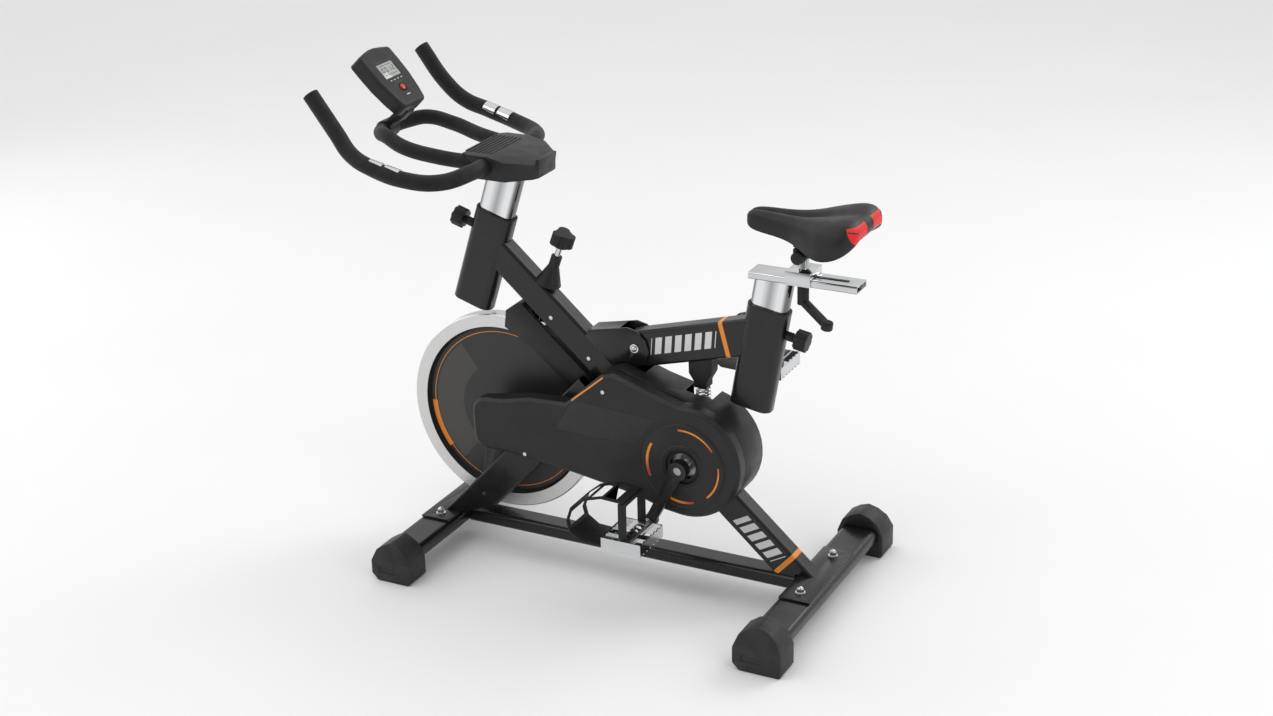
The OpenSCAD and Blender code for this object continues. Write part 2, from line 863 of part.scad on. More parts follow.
// Saddle carriage: saddle plate on the bar, the clamp bolt and its lower washer
module saddle_carriage() {
    top = bar_z + bar_t + 0.3;
    color([0.8, 0.8, 0.8]) {
        difference() {
            translate([stem_x - 25, -30, bar_z + 1]) cube([50, 60, top + 14 - bar_z - 1]);
            translate([stem_x - 26, -slider_w / 2 - 0.3, bar_z - 5])
                cube([52, slider_w + 0.6, top - bar_z + 5]);
        }
        translate([stem_x, 0, bar_z - 22]) cylinder(r = 5, h = 22 + bar_t + 1);
        translate([stem_x, 0, top + 14]) cylinder(r = 11, h = 20);
    }
}

tilt_at = [stem_x, 0, bar_z + bar_t + 0.3 + 14 + 28];

// Clamp bolted across the stem, which lets the saddle tip
module saddle_clamp() {
    color([0.08, 0.08, 0.08]) {
        difference() {
            union() {
                across(tilt_at, 13, -24, 24);
                translate([tilt_at[0] - 13, -20, tilt_at[2]]) cube([55, 40, 13]);
            }
            translate([stem_x, 0, 0]) cylinder(r = 12.5, h = tilt_at[2] - 5);
        }
        across(tilt_at, 12, -34, -24);
        across(tilt_at, 6, 24, 32);
    }
}

pan_z = tilt_at[2] + 13;

module saddle_blob(z0, z1, cut) {
    nose = saddle_x + 24;
    rear = saddle_x + saddle_len - 62;
    hull() {
        translate([nose, 0, z0 + 8]) cylinder(r = 24 - cut, h = z1 - z0 - 18);
        translate([nose, 0, z0 + 12]) cylinder(r = 18 - cut, h = z1 - z0 - 16);
        both_sides() {
            translate([rear, saddle_w / 2 - 62, z0]) cylinder(r = 62 - cut, h = z1 - z0 - 22);
            translate([rear, saddle_w / 2 - 62, z0 + 10]) cylinder(r = 46 - cut, h = z1 - z0 - 10);
        }
    }
}

module saddle_pan() {
    color([0.1, 0.1, 0.1]) intersection() {
        saddle_blob(pan_z - 10, pan_z + 60, 16);
        translate([200, -200, pan_z + weld]) cube([500, 400, 9]);
    }
}

module saddle_cover() {
    color([0.06, 0.06, 0.06]) difference() {
        saddle_blob(pan_z + 2, pan_z + 78, 0);
        translate([200, -200, pan_z - 10]) cube([500, 400, 19.4]);
    }
}

module slider_lever() {
    top = bar_z - 1;
    color([0.1, 0.1, 0.1]) difference() {
        union() {
            translate([stem_x, 0, top - 42]) cylinder(r = 11, h = 42);
            translate([stem_x, 0, top - 30]) rotate([0, 12, -38])
                translate([6, -7, -12]) cube([88, 14, 11]);
            translate([stem_x, 0, top - 30]) rotate([0, 12, -38])
                translate([92, 0, -13]) cylinder(r = 11, h = 13);
        }
        translate([stem_x, 0, top - 22]) cylinder(r = 5.08, h = 40);
    }
}

// Pull knob with its locking pin, along local +X from the sleeve's axis
module pull_knob() {
    start = post_w / 2 + 0.5;
    face = sleeve_w / 2 + 0.3;
    rotate([0, 90, 0]) {
        translate([0, 0, start]) cylinder(r = pin_r, h = face + 26 - start);
        translate([0, 0, face]) cylinder(r = 10, h = 14, $fn = 6);
        translate([0, 0, face + 14]) cylinder(r = 8, h = 6);
        translate([0, 0, face + 20]) difference() {
            cylinder(r = 20, h = 24);
            for (a = [0:45:315])
                rotate([0, 0, a]) translate([22.5, 0, -1]) cylinder(r = 5, h = 26, $fn = 24);
        }
    }
}

module seat_pin() {
    color([0.08, 0.08, 0.08]) lean(seat_at, seat_lean)
        translate([0, 0, seat_len - pin_drop]) pull_knob();
}

module head_pin() {
    color([0.08, 0.08, 0.08]) lean(head_at, head_lean)
        translate([0, 0, head_len - pin_drop]) mirror([1, 0, 0]) pull_knob();
}

// ---------------------------------------------------------------- handlebar

// Half of the outer bar, from the middle to the tip of a horn
bar_path = [
    [-234, 0, 838], [-234, 120, 838], [-268, 186, 832], [-325, 214, 838],
    [-398, 220, 856], [-446, 212, 874], [-482, 202, 908], [-538, 200, 980]
];
// Half of the inner loop, from the outer bar to its straight front
loop_path = [
    [-234, 64, 838], [-333, 82, 846], [-404, 92, 860], [-452, 76, 872], [-482, 50, 868],
    [-498, 24, 864]
];
loop_front = [-498, 0, 864];
loop_r = bar_r - 1;
bar_wall = 2;

module handlebar_post() {
    color([0.85, 0.85, 0.85]) difference() {
        post(head_at, head_lean, head_post_len)
            index_holes(head_len - pin_drop - post_foot, -1);
        translate([-400, -60, 838 - bar_r - weld]) cube([300, 120, 200]);
    }
}

// Both halves of a bar, joined across the bike at its path's point k, next to point n
module bent_bar(path, k, n, r) {
    p = path[k];
    both_sides() {
        rod(path, r);
        corner(path[n], p, [p[0], -p[1], p[2]], r + ball);
    }
    across(p, r, -p[1], p[1]);
}

// Outer bar, bored along its straight stretches, and the inner loop coped to it
module handlebar() {
    half = bar_path[1][1];
    color([0.1, 0.1, 0.1]) {
        difference() {
            bent_bar([for (i = [1:7]) bar_path[i]], 0, 1, bar_r);
            across(bar_path[1], bar_r - bar_wall, 8 - half, half - 8);
            both_sides() for (i = [1:6])
                rod([for (t = [0.15, 0.85]) along(bar_path[i], bar_path[i + 1], t)],
                    bar_r - bar_wall);
        }
        difference() {
            bent_bar(loop_path, 5, 4, loop_r);
            across(bar_path[1], bar_r + weld, -bar_path[1][1], bar_path[1][1]);
        }
    }
}

function along(a, b, t) = a + (b - a) * t;

module grip(pts) {
    difference() {
        rod(pts, grip_r);
        rod(concat([along(pts[0], pts[1], -0.2)], [for (i = [1:len(pts) - 2]) pts[i]],
            [along(pts[len(pts) - 1], pts[len(pts) - 2], -0.02)]), bar_r + weld);
    }
}

module handlebar_grips() {
    p = bar_path;
    color([0.05, 0.05, 0.05]) both_sides() {
        grip([along(p[6], p[5], 0.35), p[6], p[7]]);
        grip([along(p[1], p[2], 0.3), p[2], p[3], along(p[3], p[4], 0.25)]);
        translate(p[7]) rotate([0, -38, 0]) translate([0, 0, 0.3]) cylinder(r = grip_r, h = 4);
    }
}

// Two bright sensor plates around each hand position, with a gap between them
module pulse_plates() {
    a = along(bar_path[3], bar_path[4], 0.34);
    b = along(bar_path[3], bar_path[4], 0.96);
    v = b - a;
    color([0.85, 0.85, 0.85]) both_sides() translate(a)
        rotate([0, acos(v[2] / norm(v)), atan2(v[1], v[0])]) difference() {
            cylinder(r = grip_r + 0.5, h = norm(v));
            translate([0, 0, -1]) cylinder(r = bar_r + weld, h = norm(v) + 2);
            translate([-30, -2, -1]) cube([60, 4, norm(v) + 2]);
        }
}

// Plan and side outlines of the tray
module tray_shape(shrink) {
    x0 = -296 + shrink;
    x1 = -138 - shrink;
    w = 82 - shrink;
    intersection() {
        translate([0, 0, 780]) linear_extrude(100) polygon([
            [x0, -w + 20], [x0 + 26, -w], [x1 - 48, -w], [x1 - 6, -w + 36], [x1, -w + 50],
            [x1, w - 50], [x1 - 6, w - 36], [x1 - 48, w], [x0 + 26, w], [x0, w - 20]
        ]);
        slab(-100, 100) polygon([
            [x0, 812 - 8 * shrink], [x0, 846 - shrink], [x0 + 14, 858 - shrink],
            [-222, 858 - shrink], [x1, 840 - shrink], [x1, 812 - 8 * shrink]
        ]);
    }
}

// Moulded tray over the stem that a phone or tablet leans on
module device_tray() {
    color([0.09, 0.09, 0.09]) difference() {
        union() {
            tray_shape(0);
            translate([-146, -34, 826]) rotate([0, 9, 0]) cube([8, 68, 24]);
        }
        tray_shape(3);
        both_sides() for (p = [bar_path, loop_path])
            rod([along(p[0], p[1], -0.1), p[1], p[2]], bar_r + 0.5);
    }
}

// ---------------------------------------------------------------- console

// Local X across the face, Y up the face and Z out of it
module console_axis() {
    translate(console_low)
        rotate([0, 0, 90]) rotate([console_tilt, 0, 0]) children();
}

module console_shape(grow) {
    translate([0, console_len / 2]) polygon([
        for (e = [[-0.34, -0.5], [0.34, -0.5], [0.43, -0.44], [0.5, 0.2], [0.48, 0.36],
                  [0.3, 0.5], [-0.3, 0.5], [-0.48, 0.36], [-0.5, 0.2], [-0.43, -0.44]])
            [e[0] * (console_w + 2 * grow), e[1] * (console_len + 2 * grow)]
    ]);
}

screen_at = [0, 86];
screen_size = [58, 38];
button_at = [0, 42];
neck_at = loop_front;

module console_housing() {
    color([0.13, 0.13, 0.13]) difference() {
        union() {
            console_axis() difference() {
                translate([0, 0, -console_t]) linear_extrude(console_t) console_shape(0);
                translate([0, 0, -console_t + 2.5]) linear_extrude(console_t - 5)
                    console_shape(-3);
                translate([screen_at[0], screen_at[1], -6]) linear_extrude(10)
                    square(screen_size, center = true);
                translate([button_at[0], button_at[1], -10]) cylinder(r = 7.5, h = 20);
            }
            slab(-16, 16) polygon([[-486, 858], [-512, 868], [-470, 905], [-459, 925], [-438, 903],
                [-462, 884], [-480, 876]]);
            across(neck_at, loop_r + 5, -18, 18);
        }
        across(neck_at, loop_r + 0.06, -60, 60);
    }
}

module console_screen() {
    color([0.55, 0.6, 0.55]) console_axis()
        translate([screen_at[0], screen_at[1], -4.5]) linear_extrude(3.5)
            square(screen_size - [0.2, 0.2], center = true);
}

module console_button() {
    color([0.85, 0.08, 0.08]) console_axis() translate([button_at[0], button_at[1], -7]) {
        cylinder(r = 7.15, h = 8);
        cylinder(r = 9, h = 3);
    }
}

// ---------------------------------------------------------------- brake

// Local Z runs outward from the flywheel's centre through the knob
module brake_axis() {
    translate(axle) rotate([0, 90 - brake_turn, 0]) children();
}

tower_low = 318;
tower_high = 372;

module brake_bore(r) {
    brake_axis() cylinder(r = r, h = 330);
}

module brake_tower() {
    color([0.1, 0.1, 0.1]) difference() {
        union() {
            brake_axis() translate([0, 0, tower_low - 60]) cylinder(r = 12.8, h = 70);
            brake_axis() translate([0, 0, tower_low - 8])
                cylinder(r1 = 26, r2 = 11, h = 40);
            brake_axis() translate([0, 0, tower_low + 10])
                cylinder(r = 11, h = tower_high - tower_low - 10);
        }
        difference() {
            main_solid(weld);
            brake_bore(12.9);
        }
        brake_axis() cylinder(r = 6.08, h = 500);
    }
}

module brake_rod() {
    r0 = flywheel_r + pad_gap;
    color([0.7, 0.7, 0.7]) brake_axis() {
        translate([0, 0, r0 + 10]) cylinder(r = 6, h = 396 - r0 - 10);
        difference() {
            translate([-24, -11, r0 - 4]) cube([48, 22, 14.5]);
            translate([0, 0, 0]) rotate([90, 0, 0])
                translate([0, 0, -20]) cylinder(r = r0, h = 40, $fn = 128);
        }
    }
}

// Three-lobed knob on the end of the rod
module brake_knob() {
    z = 397;
    color([0.1, 0.1, 0.1]) brake_axis() translate([0, 0, z]) difference() {
        union() {
            cylinder(r = 15, h = 22);
            for (a = [0:120:240]) rotate([0, 0, a]) translate([13, 0, 4]) cylinder(r = 12, h = 24);
            cylinder(r = 17, h = 28);
        }
        translate([0, 0, -1]) cylinder(r = 5.9, h = 8);
    }
}

// ---------------------------------------------------------------- nodes

module placed() {
    translate([centre_x, 0, 0]) children();
}

placed() front_stabiliser();
placed() rear_stabiliser();
placed() stabiliser_caps();
placed() ground_beam();
placed() main_tube();
placed() head_sleeve();
placed() fork_leg_left();
placed() fork_leg_right();
placed() fork_bridge();
placed() foot_plates();
placed() stabiliser_nuts();
placed() dropout_plates();
placed() pivot_bracket();
placed() pivot_bolt();
placed() bottom_bracket();
placed() bearings();
placed() belt_cover_outer();
placed() belt_cover_inner();
placed() flywheel_guard();
placed() head_liner();
placed() shock_base();
placed() brake_tower();
placed() cover_screws();
placed() drive_belt();
placed() flywheel();
placed() flywheel_shaft();
placed() flywheel_pulley();
placed() crank_spindle();
placed() crank_pulley();
placed() crank_arm_left();
placed() crank_arm_right();
placed() pedal_spindles();
placed() pedal_left();
placed() toe_cage_left();
placed() pedal_right();
placed() toe_cage_right();
placed() top_tube();
placed() seat_sleeve();
placed() seat_liner();
placed() shock_bracket();
placed() shock_spring();
placed() seat_post();
placed() slider_bar();
placed() saddle_carriage();
placed() saddle_clamp();
placed() saddle_pan();
placed() saddle_cover();
placed() slider_lever();
placed() seat_pin();
placed() head_pin();
placed() handlebar_post();
placed() handlebar();
placed() handlebar_grips();
placed() pulse_plates();
placed() device_tray();
placed() console_housing();
placed() console_screen();
placed() console_button();
placed() brake_knob();
placed() brake_rod();
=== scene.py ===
import json
import math

import bmesh
import bpy
from mathutils import Matrix, Vector


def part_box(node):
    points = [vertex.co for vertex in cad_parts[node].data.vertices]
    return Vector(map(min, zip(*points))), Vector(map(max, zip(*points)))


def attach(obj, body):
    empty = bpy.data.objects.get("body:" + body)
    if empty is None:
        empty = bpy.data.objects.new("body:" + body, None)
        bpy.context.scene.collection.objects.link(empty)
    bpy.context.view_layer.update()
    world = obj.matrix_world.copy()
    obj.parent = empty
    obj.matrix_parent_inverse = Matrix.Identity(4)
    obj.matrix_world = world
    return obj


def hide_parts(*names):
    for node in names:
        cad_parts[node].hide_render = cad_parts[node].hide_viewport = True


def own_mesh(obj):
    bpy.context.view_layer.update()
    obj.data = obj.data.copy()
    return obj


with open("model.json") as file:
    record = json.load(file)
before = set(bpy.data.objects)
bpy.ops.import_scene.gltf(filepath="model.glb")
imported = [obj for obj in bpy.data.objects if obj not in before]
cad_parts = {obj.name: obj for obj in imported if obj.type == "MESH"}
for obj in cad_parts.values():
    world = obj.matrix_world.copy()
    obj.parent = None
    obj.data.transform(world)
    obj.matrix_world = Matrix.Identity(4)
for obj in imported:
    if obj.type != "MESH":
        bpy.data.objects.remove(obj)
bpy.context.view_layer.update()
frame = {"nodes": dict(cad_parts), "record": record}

bl_info = {
    "name": "Spin Bike Studio",
    "version": (1, 0, 0),
    "blender": (4, 5, 0),
    "location": "View3D > Sidebar > Spin Bike",
    "description": "Dresses the frame of an indoor exercise bike with covers, foam and finishes",
    "category": "Object",
}

NODES = frame["nodes"]

# Sizes below are in millimetres from the frame's own drawing, whose zero lies this far behind the origin
CENTRE_X = 8.15


def mm(x, y, z):
    """A point of the drawing, in metres in the row frame."""
    return Vector((x + CENTRE_X, y, z)) / 1000


def drawing(x=0.0, y=0.0, z=0.0):
    """Matrix that takes millimetres of the drawing to the row frame."""
    return Matrix.Translation(mm(x, y, z)) @ Matrix.Scale(0.001, 4)


# Side elevation: local X is the drawing's X, local Y its Z, and local Z points to the rider's left
SIDE = drawing() @ Matrix.Rotation(math.radians(90), 4, "X")

AXLE = (-251, 0, 296)
CRANK = (190, 0, 290)
COVER_FACE = 92
BAR_PATH = [
    (-234, 120, 838), (-268, 186, 832), (-325, 214, 838), (-398, 220, 856),
    (-446, 212, 874), (-482, 202, 908), (-538, 200, 980),
]
LOOP_PATH = [
    (-234, 64, 838), (-333, 82, 846), (-404, 92, 860), (-452, 76, 872), (-482, 50, 868),
    (-498, 20, 864),
]
LOOP_FRONT = (-499, 0, 864)
BAR_PITCH = 22.0
RED_PANEL_AT = (520.4, 16, 787)
RED_PANEL_LEAN = 0.516


# ------------------------------------------------------------------ modelling helpers

def free_selection():
    if bpy.context.object and bpy.context.object.mode != "OBJECT":
        bpy.ops.object.mode_set(mode="OBJECT")
    bpy.ops.object.select_all(action="DESELECT")


def take(obj):
    """Makes obj the only selected object."""
    free_selection()
    obj.select_set(True)
    bpy.context.view_layer.objects.active = obj


def smooth(obj, angle=35):
    take(obj)
    bpy.ops.object.shade_smooth_by_angle(angle=math.radians(angle))


def settle(obj, matrix=None):
    """Puts an object's place into its mesh, so that it sits at the origin unturned."""
    bpy.context.view_layer.update()
    place = obj.matrix_world.copy()
    if matrix is not None:
        place = matrix @ place
    obj.parent = None
    obj.matrix_world = Matrix.Identity(4)
    obj.data.transform(place)
    if place.determinant() < 0:
        obj.data.flip_normals()
    obj.data.update()


def apply_modifiers(obj):
    take(obj)
    for modifier in list(obj.modifiers):
        bpy.ops.object.modifier_apply(modifier=modifier.name)


def outward(obj):
    take(obj)
    bpy.ops.object.mode_set(mode="EDIT")
    bpy.ops.mesh.select_all(action="SELECT")
    bpy.ops.mesh.remove_doubles(threshold=1e-6)
    bpy.ops.mesh.normals_make_consistent(inside=False)
    bpy.ops.object.mode_set(mode="OBJECT")


def round_edges(obj, width, segments=3, angle=32):
    """Bevels every edge sharper than angle and shades the result smooth."""
    bevel = obj.modifiers.new("Edges", "BEVEL")
    bevel.width = width
    bevel.segments = segments
    bevel.limit_method = "ANGLE"
    bevel.angle_limit = math.radians(angle)
    bevel.harden_normals = False
    apply_modifiers(obj)
    smooth(obj, 40)


def prism(name, outline, low, high, matrix=SIDE, edge=0.0, segments=3, draft=None):
    """Closed prism on an outline. draft is (height, inset) of a sloping margin around its top."""
    free_selection()
    bpy.ops.mesh.primitive_circle_add(vertices=len(outline), radius=1, fill_type="NGON")
    obj = bpy.context.object
    obj.name = obj.data.name = name
    for vertex, point in zip(obj.data.vertices, outline):
        vertex.co = (point[0], point[1], low)
    top = high - (draft[0] if draft else 0)
    bpy.ops.object.mode_set(mode="EDIT")
    bpy.ops.mesh.select_all(action="SELECT")
    bpy.ops.mesh.extrude_region_move(TRANSFORM_OT_translate={"value": (0, 0, top - low)})
    bpy.ops.object.mode_set(mode="OBJECT")
    if draft:
        inner = inset_outline(outline, draft[1])
        bpy.ops.object.mode_set(mode="EDIT")
        bpy.ops.mesh.extrude_region_move(TRANSFORM_OT_translate={"value": (0, 0, draft[0])})
        bpy.ops.object.mode_set(mode="OBJECT")
        raised = [v for v in obj.data.vertices if v.co.z > high - 1e-4]
        for vertex in raised:
            i = min(range(len(outline)), key=lambda k: (vertex.co.xy - Vector(outline[k])).length)
            vertex.co.x, vertex.co.y = inner[i]
    settle(obj, matrix)
    outward(obj)
    if edge:
        round_edges(obj, edge / 1000, segments)
    else:
        smooth(obj)
    return obj


def inset_outline(outline, distance):
    """The outline moved inwards by a distance, corner by corner."""
    n = len(outline)
    points = [Vector(p) for p in outline]
    area = sum(points[i].cross(points[(i + 1) % n]) for i in range(n))
    turn = 1 if area > 0 else -1
    moved = []
    for i in range(n):
        a = (points[i] - points[i - 1]).normalized()
        b = (points[(i + 1) % n] - points[i]).normalized()
        normal_a = Vector((-a.y, a.x)) * turn
        normal_b = Vector((-b.y, b.x)) * turn
        mitre = (normal_a + normal_b).normalized()
        reach = distance / max(0.5, mitre.dot(normal_a))
        moved.append(tuple(points[i] + mitre * reach))
    return moved


def arc(centre, radius, start, end, steps):
    """Points along an arc, angles in degrees."""
    turn = [math.radians(start + (end - start) * i / steps) for i in range(steps + 1)]
    return [(centre[0] + radius * math.cos(t), centre[1] + radius * math.sin(t)) for t in turn]


def tube(name, points, radius, smooth_path=True, cyclic=False, sides=5):
    """Round bar along a path through points in millimetres of the drawing, with flat closed ends."""
    free_selection()
    bpy.ops.curve.primitive_bezier_curve_add(radius=1)
    obj = bpy.context.object
    obj.name = name
    curve = obj.data
    curve.splines.clear()
    spline = curve.splines.new("BEZIER")
    spline.bezier_points.add(len(points) - 1)
    for knot, point in zip(spline.bezier_points, points):
        knot.co = mm(*point)
        knot.handle_left_type = knot.handle_right_type = "AUTO" if smooth_path else "VECTOR"
    spline.use_cyclic_u = cyclic
    spline.resolution_u = 10
    curve.dimensions = "3D"
    curve.bevel_depth = radius / 1000
    curve.bevel_resolution = sides
    curve.use_fill_caps = not cyclic
    take(obj)
    bpy.ops.object.convert(target="MESH")
    obj = bpy.context.object
    settle(obj)
    outward(obj)
    return obj


def lathe(name, profile, matrix, steps=48):
    """Solid of revolution about local Z from (radius, height) pairs that start and end on the axis."""
    free_selection()
    bpy.ops.mesh.primitive_circle_add(vertices=len(profile), radius=1, fill_type="NOTHING")
    obj = bpy.context.object
    obj.name = obj.data.name = name
    for vertex, (radius, height) in zip(obj.data.vertices, profile):
        vertex.co = (radius, 0, height)
    mesh = bmesh.new()
    mesh.from_mesh(obj.data)
    mesh.edges.ensure_lookup_table()
    for edge in [e for e in mesh.edges if {v.index for v in e.verts} == {0, len(profile) - 1}]:
        mesh.edges.remove(edge)
    mesh.to_mesh(obj.data)
    mesh.free()
    bpy.ops.object.mode_set(mode="EDIT")
    bpy.ops.mesh.select_all(action="SELECT")
    bpy.ops.mesh.spin(steps=steps, angle=math.tau, center=(0, 0, 0), axis=(0, 0, 1))
    bpy.ops.mesh.select_all(action="SELECT")
    bpy.ops.mesh.remove_doubles(threshold=1e-4)
    bpy.ops.object.mode_set(mode="OBJECT")
    settle(obj, matrix)
    outward(obj)
    smooth(obj)
    return obj


def joined(name, pieces):
    """Several meshes as one piece."""
    free_selection()
    for piece in pieces:
        piece.select_set(True)
    bpy.context.view_layer.objects.active = pieces[0]
    bpy.ops.object.join()
    obj = bpy.context.object
    obj.name = obj.data.name = name
    return obj


def softened(node, width, angle=32, segments=2):
    """Copy of a CAD node with its edges rounded, to stand for it."""
    source = NODES[node]
    obj = source.copy()
    obj.data = source.data.copy()
    for key in list(obj.keys()):
        del obj[key]
    obj.parent = None
    obj.matrix_world = Matrix.Identity(4)
    obj.name = obj.data.name = node + "_rounded"
    bpy.context.scene.collection.objects.link(obj)
    take(obj)
    bpy.ops.object.mode_set(mode="EDIT")
    bpy.ops.mesh.select_all(action="SELECT")
    bpy.ops.mesh.remove_doubles(threshold=2e-6)
    bpy.ops.mesh.dissolve_limited(angle_limit=math.radians(1.0))
    bpy.ops.object.mode_set(mode="OBJECT")
    if obj.data.has_custom_normals:
        bpy.ops.mesh.customdata_custom_splitnormals_clear()
    bevel = obj.modifiers.new("Edges", "BEVEL")
    bevel.width = width / 1000
    bevel.segments = segments
    bevel.limit_method = "ANGLE"
    bevel.angle_limit = math.radians(angle)
    bevel.use_clamp_overlap = True
    bevel.miter_outer = "MITER_ARC"
    apply_modifiers(obj)
    smooth(obj, 40)
    return obj


def paint(obj, *materials):
    obj.data.materials.clear()
    for material in materials:
        obj.data.materials.append(material)


def fit(obj, body, slot, *materials, stands_for=()):
    """Finishes a piece: material, the body it rides on and the CAD nodes it stands for. The slot argument
    is not used.
    """
    paint(obj, *materials)
    if stands_for:
        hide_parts(*stands_for)
    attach(obj, body)
    return obj


# ------------------------------------------------------------------ finishes

class Finish:
    """A node material built step by step around one Principled shader."""

    def __init__(self, name, colour, roughness, metallic=0.0, specular=0.5):
        self.material = bpy.data.materials.new(name)
        self.material.use_nodes = True
        self.tree = self.material.node_tree
        self.shader = self.tree.nodes["Principled BSDF"]
        self.socket("Base Color").default_value = (*colour, 1)
        self.socket("Roughness").default_value = roughness
        self.socket("Metallic").default_value = metallic
        self.socket("Specular IOR Level").default_value = specular
        self.place = self.tree.nodes.new("ShaderNodeTexCoord").outputs["Object"]
        self.height = None

    def socket(self, name):
        return self.shader.inputs[name]

    def node(self, kind, **inputs):
        made = self.tree.nodes.new(kind)
        for name, value in inputs.items():
            self.feed(made.inputs[name.replace("_", " ")], value)
        return made

    def feed(self, socket, value):
        if isinstance(value, bpy.types.NodeSocket):
            self.tree.links.new(value, socket)
        else:
            socket.default_value = value

    def math(self, operation, a, b=0.0, c=0.0):
        made = self.tree.nodes.new("ShaderNodeMath")
        made.operation = operation
        for socket, value in zip(made.inputs, (a, b, c)):
            self.feed(socket, value)
        return made.outputs[0]

    def noise(self, scale, detail=3.0, rough=0.5, vector=None):
        made = self.node("ShaderNodeTexNoise", Scale=scale, Detail=detail, Roughness=rough)
        self.feed(made.inputs["Vector"], vector or self.place)
        return made.outputs["Fac"]

    def cells(self, scale):
        made = self.node("ShaderNodeTexVoronoi", Scale=scale)
        self.feed(made.inputs["Vector"], self.place)
        return made.outputs["Distance"]

    def ramp(self, value, low, high, out_low, out_high):
        made = self.tree.nodes.new("ShaderNodeMapRange")
        made.clamp = True
        for socket, number in zip(made.inputs, (value, low, high, out_low, out_high)):
            self.feed(socket, number)
        return made.outputs[0]

    def mix(self, factor, a, b):
        made = self.tree.nodes.new("ShaderNodeMix")
        made.data_type = "RGBA"
        self.feed(made.inputs["Factor"], factor)
        self.feed(made.inputs[6], a if isinstance(a, bpy.types.NodeSocket) else (*a, 1))
        self.feed(made.inputs[7], b if isinstance(b, bpy.types.NodeSocket) else (*b, 1))
        return made.outputs[2]

    def colour(self, value):
        self.feed(self.socket("Base Color"), value)

    def roughness(self, value):
        self.feed(self.socket("Roughness"), value)

    def bump(self, height, distance, strength=1.0):
        made = self.node("ShaderNodeBump", Strength=strength, Distance=distance, Height=height)
        if self.height is not None:
            self.feed(made.inputs["Normal"], self.height)
        self.height = made.outputs["Normal"]
        self.feed(self.socket("Normal"), self.height)

    def lighter_edges(self, colour, edge_colour, amount=0.35):
        """Lighter paint in patches along sharp edges."""
        bevel = self.node("ShaderNodeBevel", Radius=0.0012)
        bevel.samples = 4
        dot = self.tree.nodes.new("ShaderNodeVectorMath")
        dot.operation = "DOT_PRODUCT"
        self.feed(dot.inputs[0], bevel.outputs["Normal"])
        self.feed(dot.inputs[1], self.node("ShaderNodeNewGeometry").outputs["Normal"])
        edge = self.ramp(dot.outputs["Value"], 0.80, 0.98, 1.0, 0.0)
        patchy = self.ramp(self.noise(90, 4), 0.45, 0.65, 0.0, amount)
        self.colour(self.mix(self.math("MULTIPLY", edge, patchy), colour, edge_colour))

    def radial(self, centre):
        """Millimetres from the axis along Y through a point of the drawing, and the angle in turns."""
        split = self.node("ShaderNodeSeparateXYZ", Vector=self.place)
        origin = mm(*centre)
        dx = self.math("SUBTRACT", split.outputs["X"], origin.x)
        dz = self.math("SUBTRACT", split.outputs["Z"], origin.z)
        squares = self.math("ADD", self.math("MULTIPLY", dx, dx), self.math("MULTIPLY", dz, dz))
        distance = self.math("MULTIPLY", self.math("SQRT", squares), 1000.0)
        turn = self.math("DIVIDE", self.math("ARCTAN2", dz, dx), math.tau)
        return distance, turn

    def between(self, value, low, high, blur):
        """1 where a value lies between two limits, and 0 outside them."""
        rise = self.ramp(value, low - blur, low + blur, 0, 1)
        fall = self.ramp(value, high - blur, high + blur, 1, 0)
        return self.math("MULTIPLY", rise, fall)

    def side_axes(self, start, end):
        """Millimetres along and across a line of the side elevation, from its start."""
        split = self.node("ShaderNodeSeparateXYZ", Vector=self.place)
        origin = mm(start[0], 0, start[1])
        run = (Vector(end) - Vector(start)).normalized()
        dx = self.math("MULTIPLY", self.math("SUBTRACT", split.outputs["X"], origin.x), 1000.0)
        dz = self.math("MULTIPLY", self.math("SUBTRACT", split.outputs["Z"], origin.z), 1000.0)
        ahead = self.math("ADD", self.math("MULTIPLY", dx, run.x), self.math("MULTIPLY", dz, run.y))
        aside = self.math("SUBTRACT", self.math("MULTIPLY", dz, run.x), self.math("MULTIPLY", dx, run.y))
        return ahead, aside


def enamelled(f):
    """Fine orange peel under a thin clear coat."""
    f.roughness(f.ramp(f.noise(28, 5), 0.3, 0.7, 0.24, 0.36))
    f.bump(f.noise(650, 2), 0.00008, 0.15)
    f.socket("Coat Weight").default_value = 0.2
    f.socket("Coat Roughness").default_value = 0.12
    return f.material


def tube_paint(look):
    """Baked black enamel on the steel tubes: a fine orange peel under a clear gloss."""
    f = Finish("frame_enamel", look.paint, 0.30, 0.0, 0.35)
    f.lighter_edges(tuple(look.paint), (0.10, 0.10, 0.105), 0.5)
    return enamelled(f)


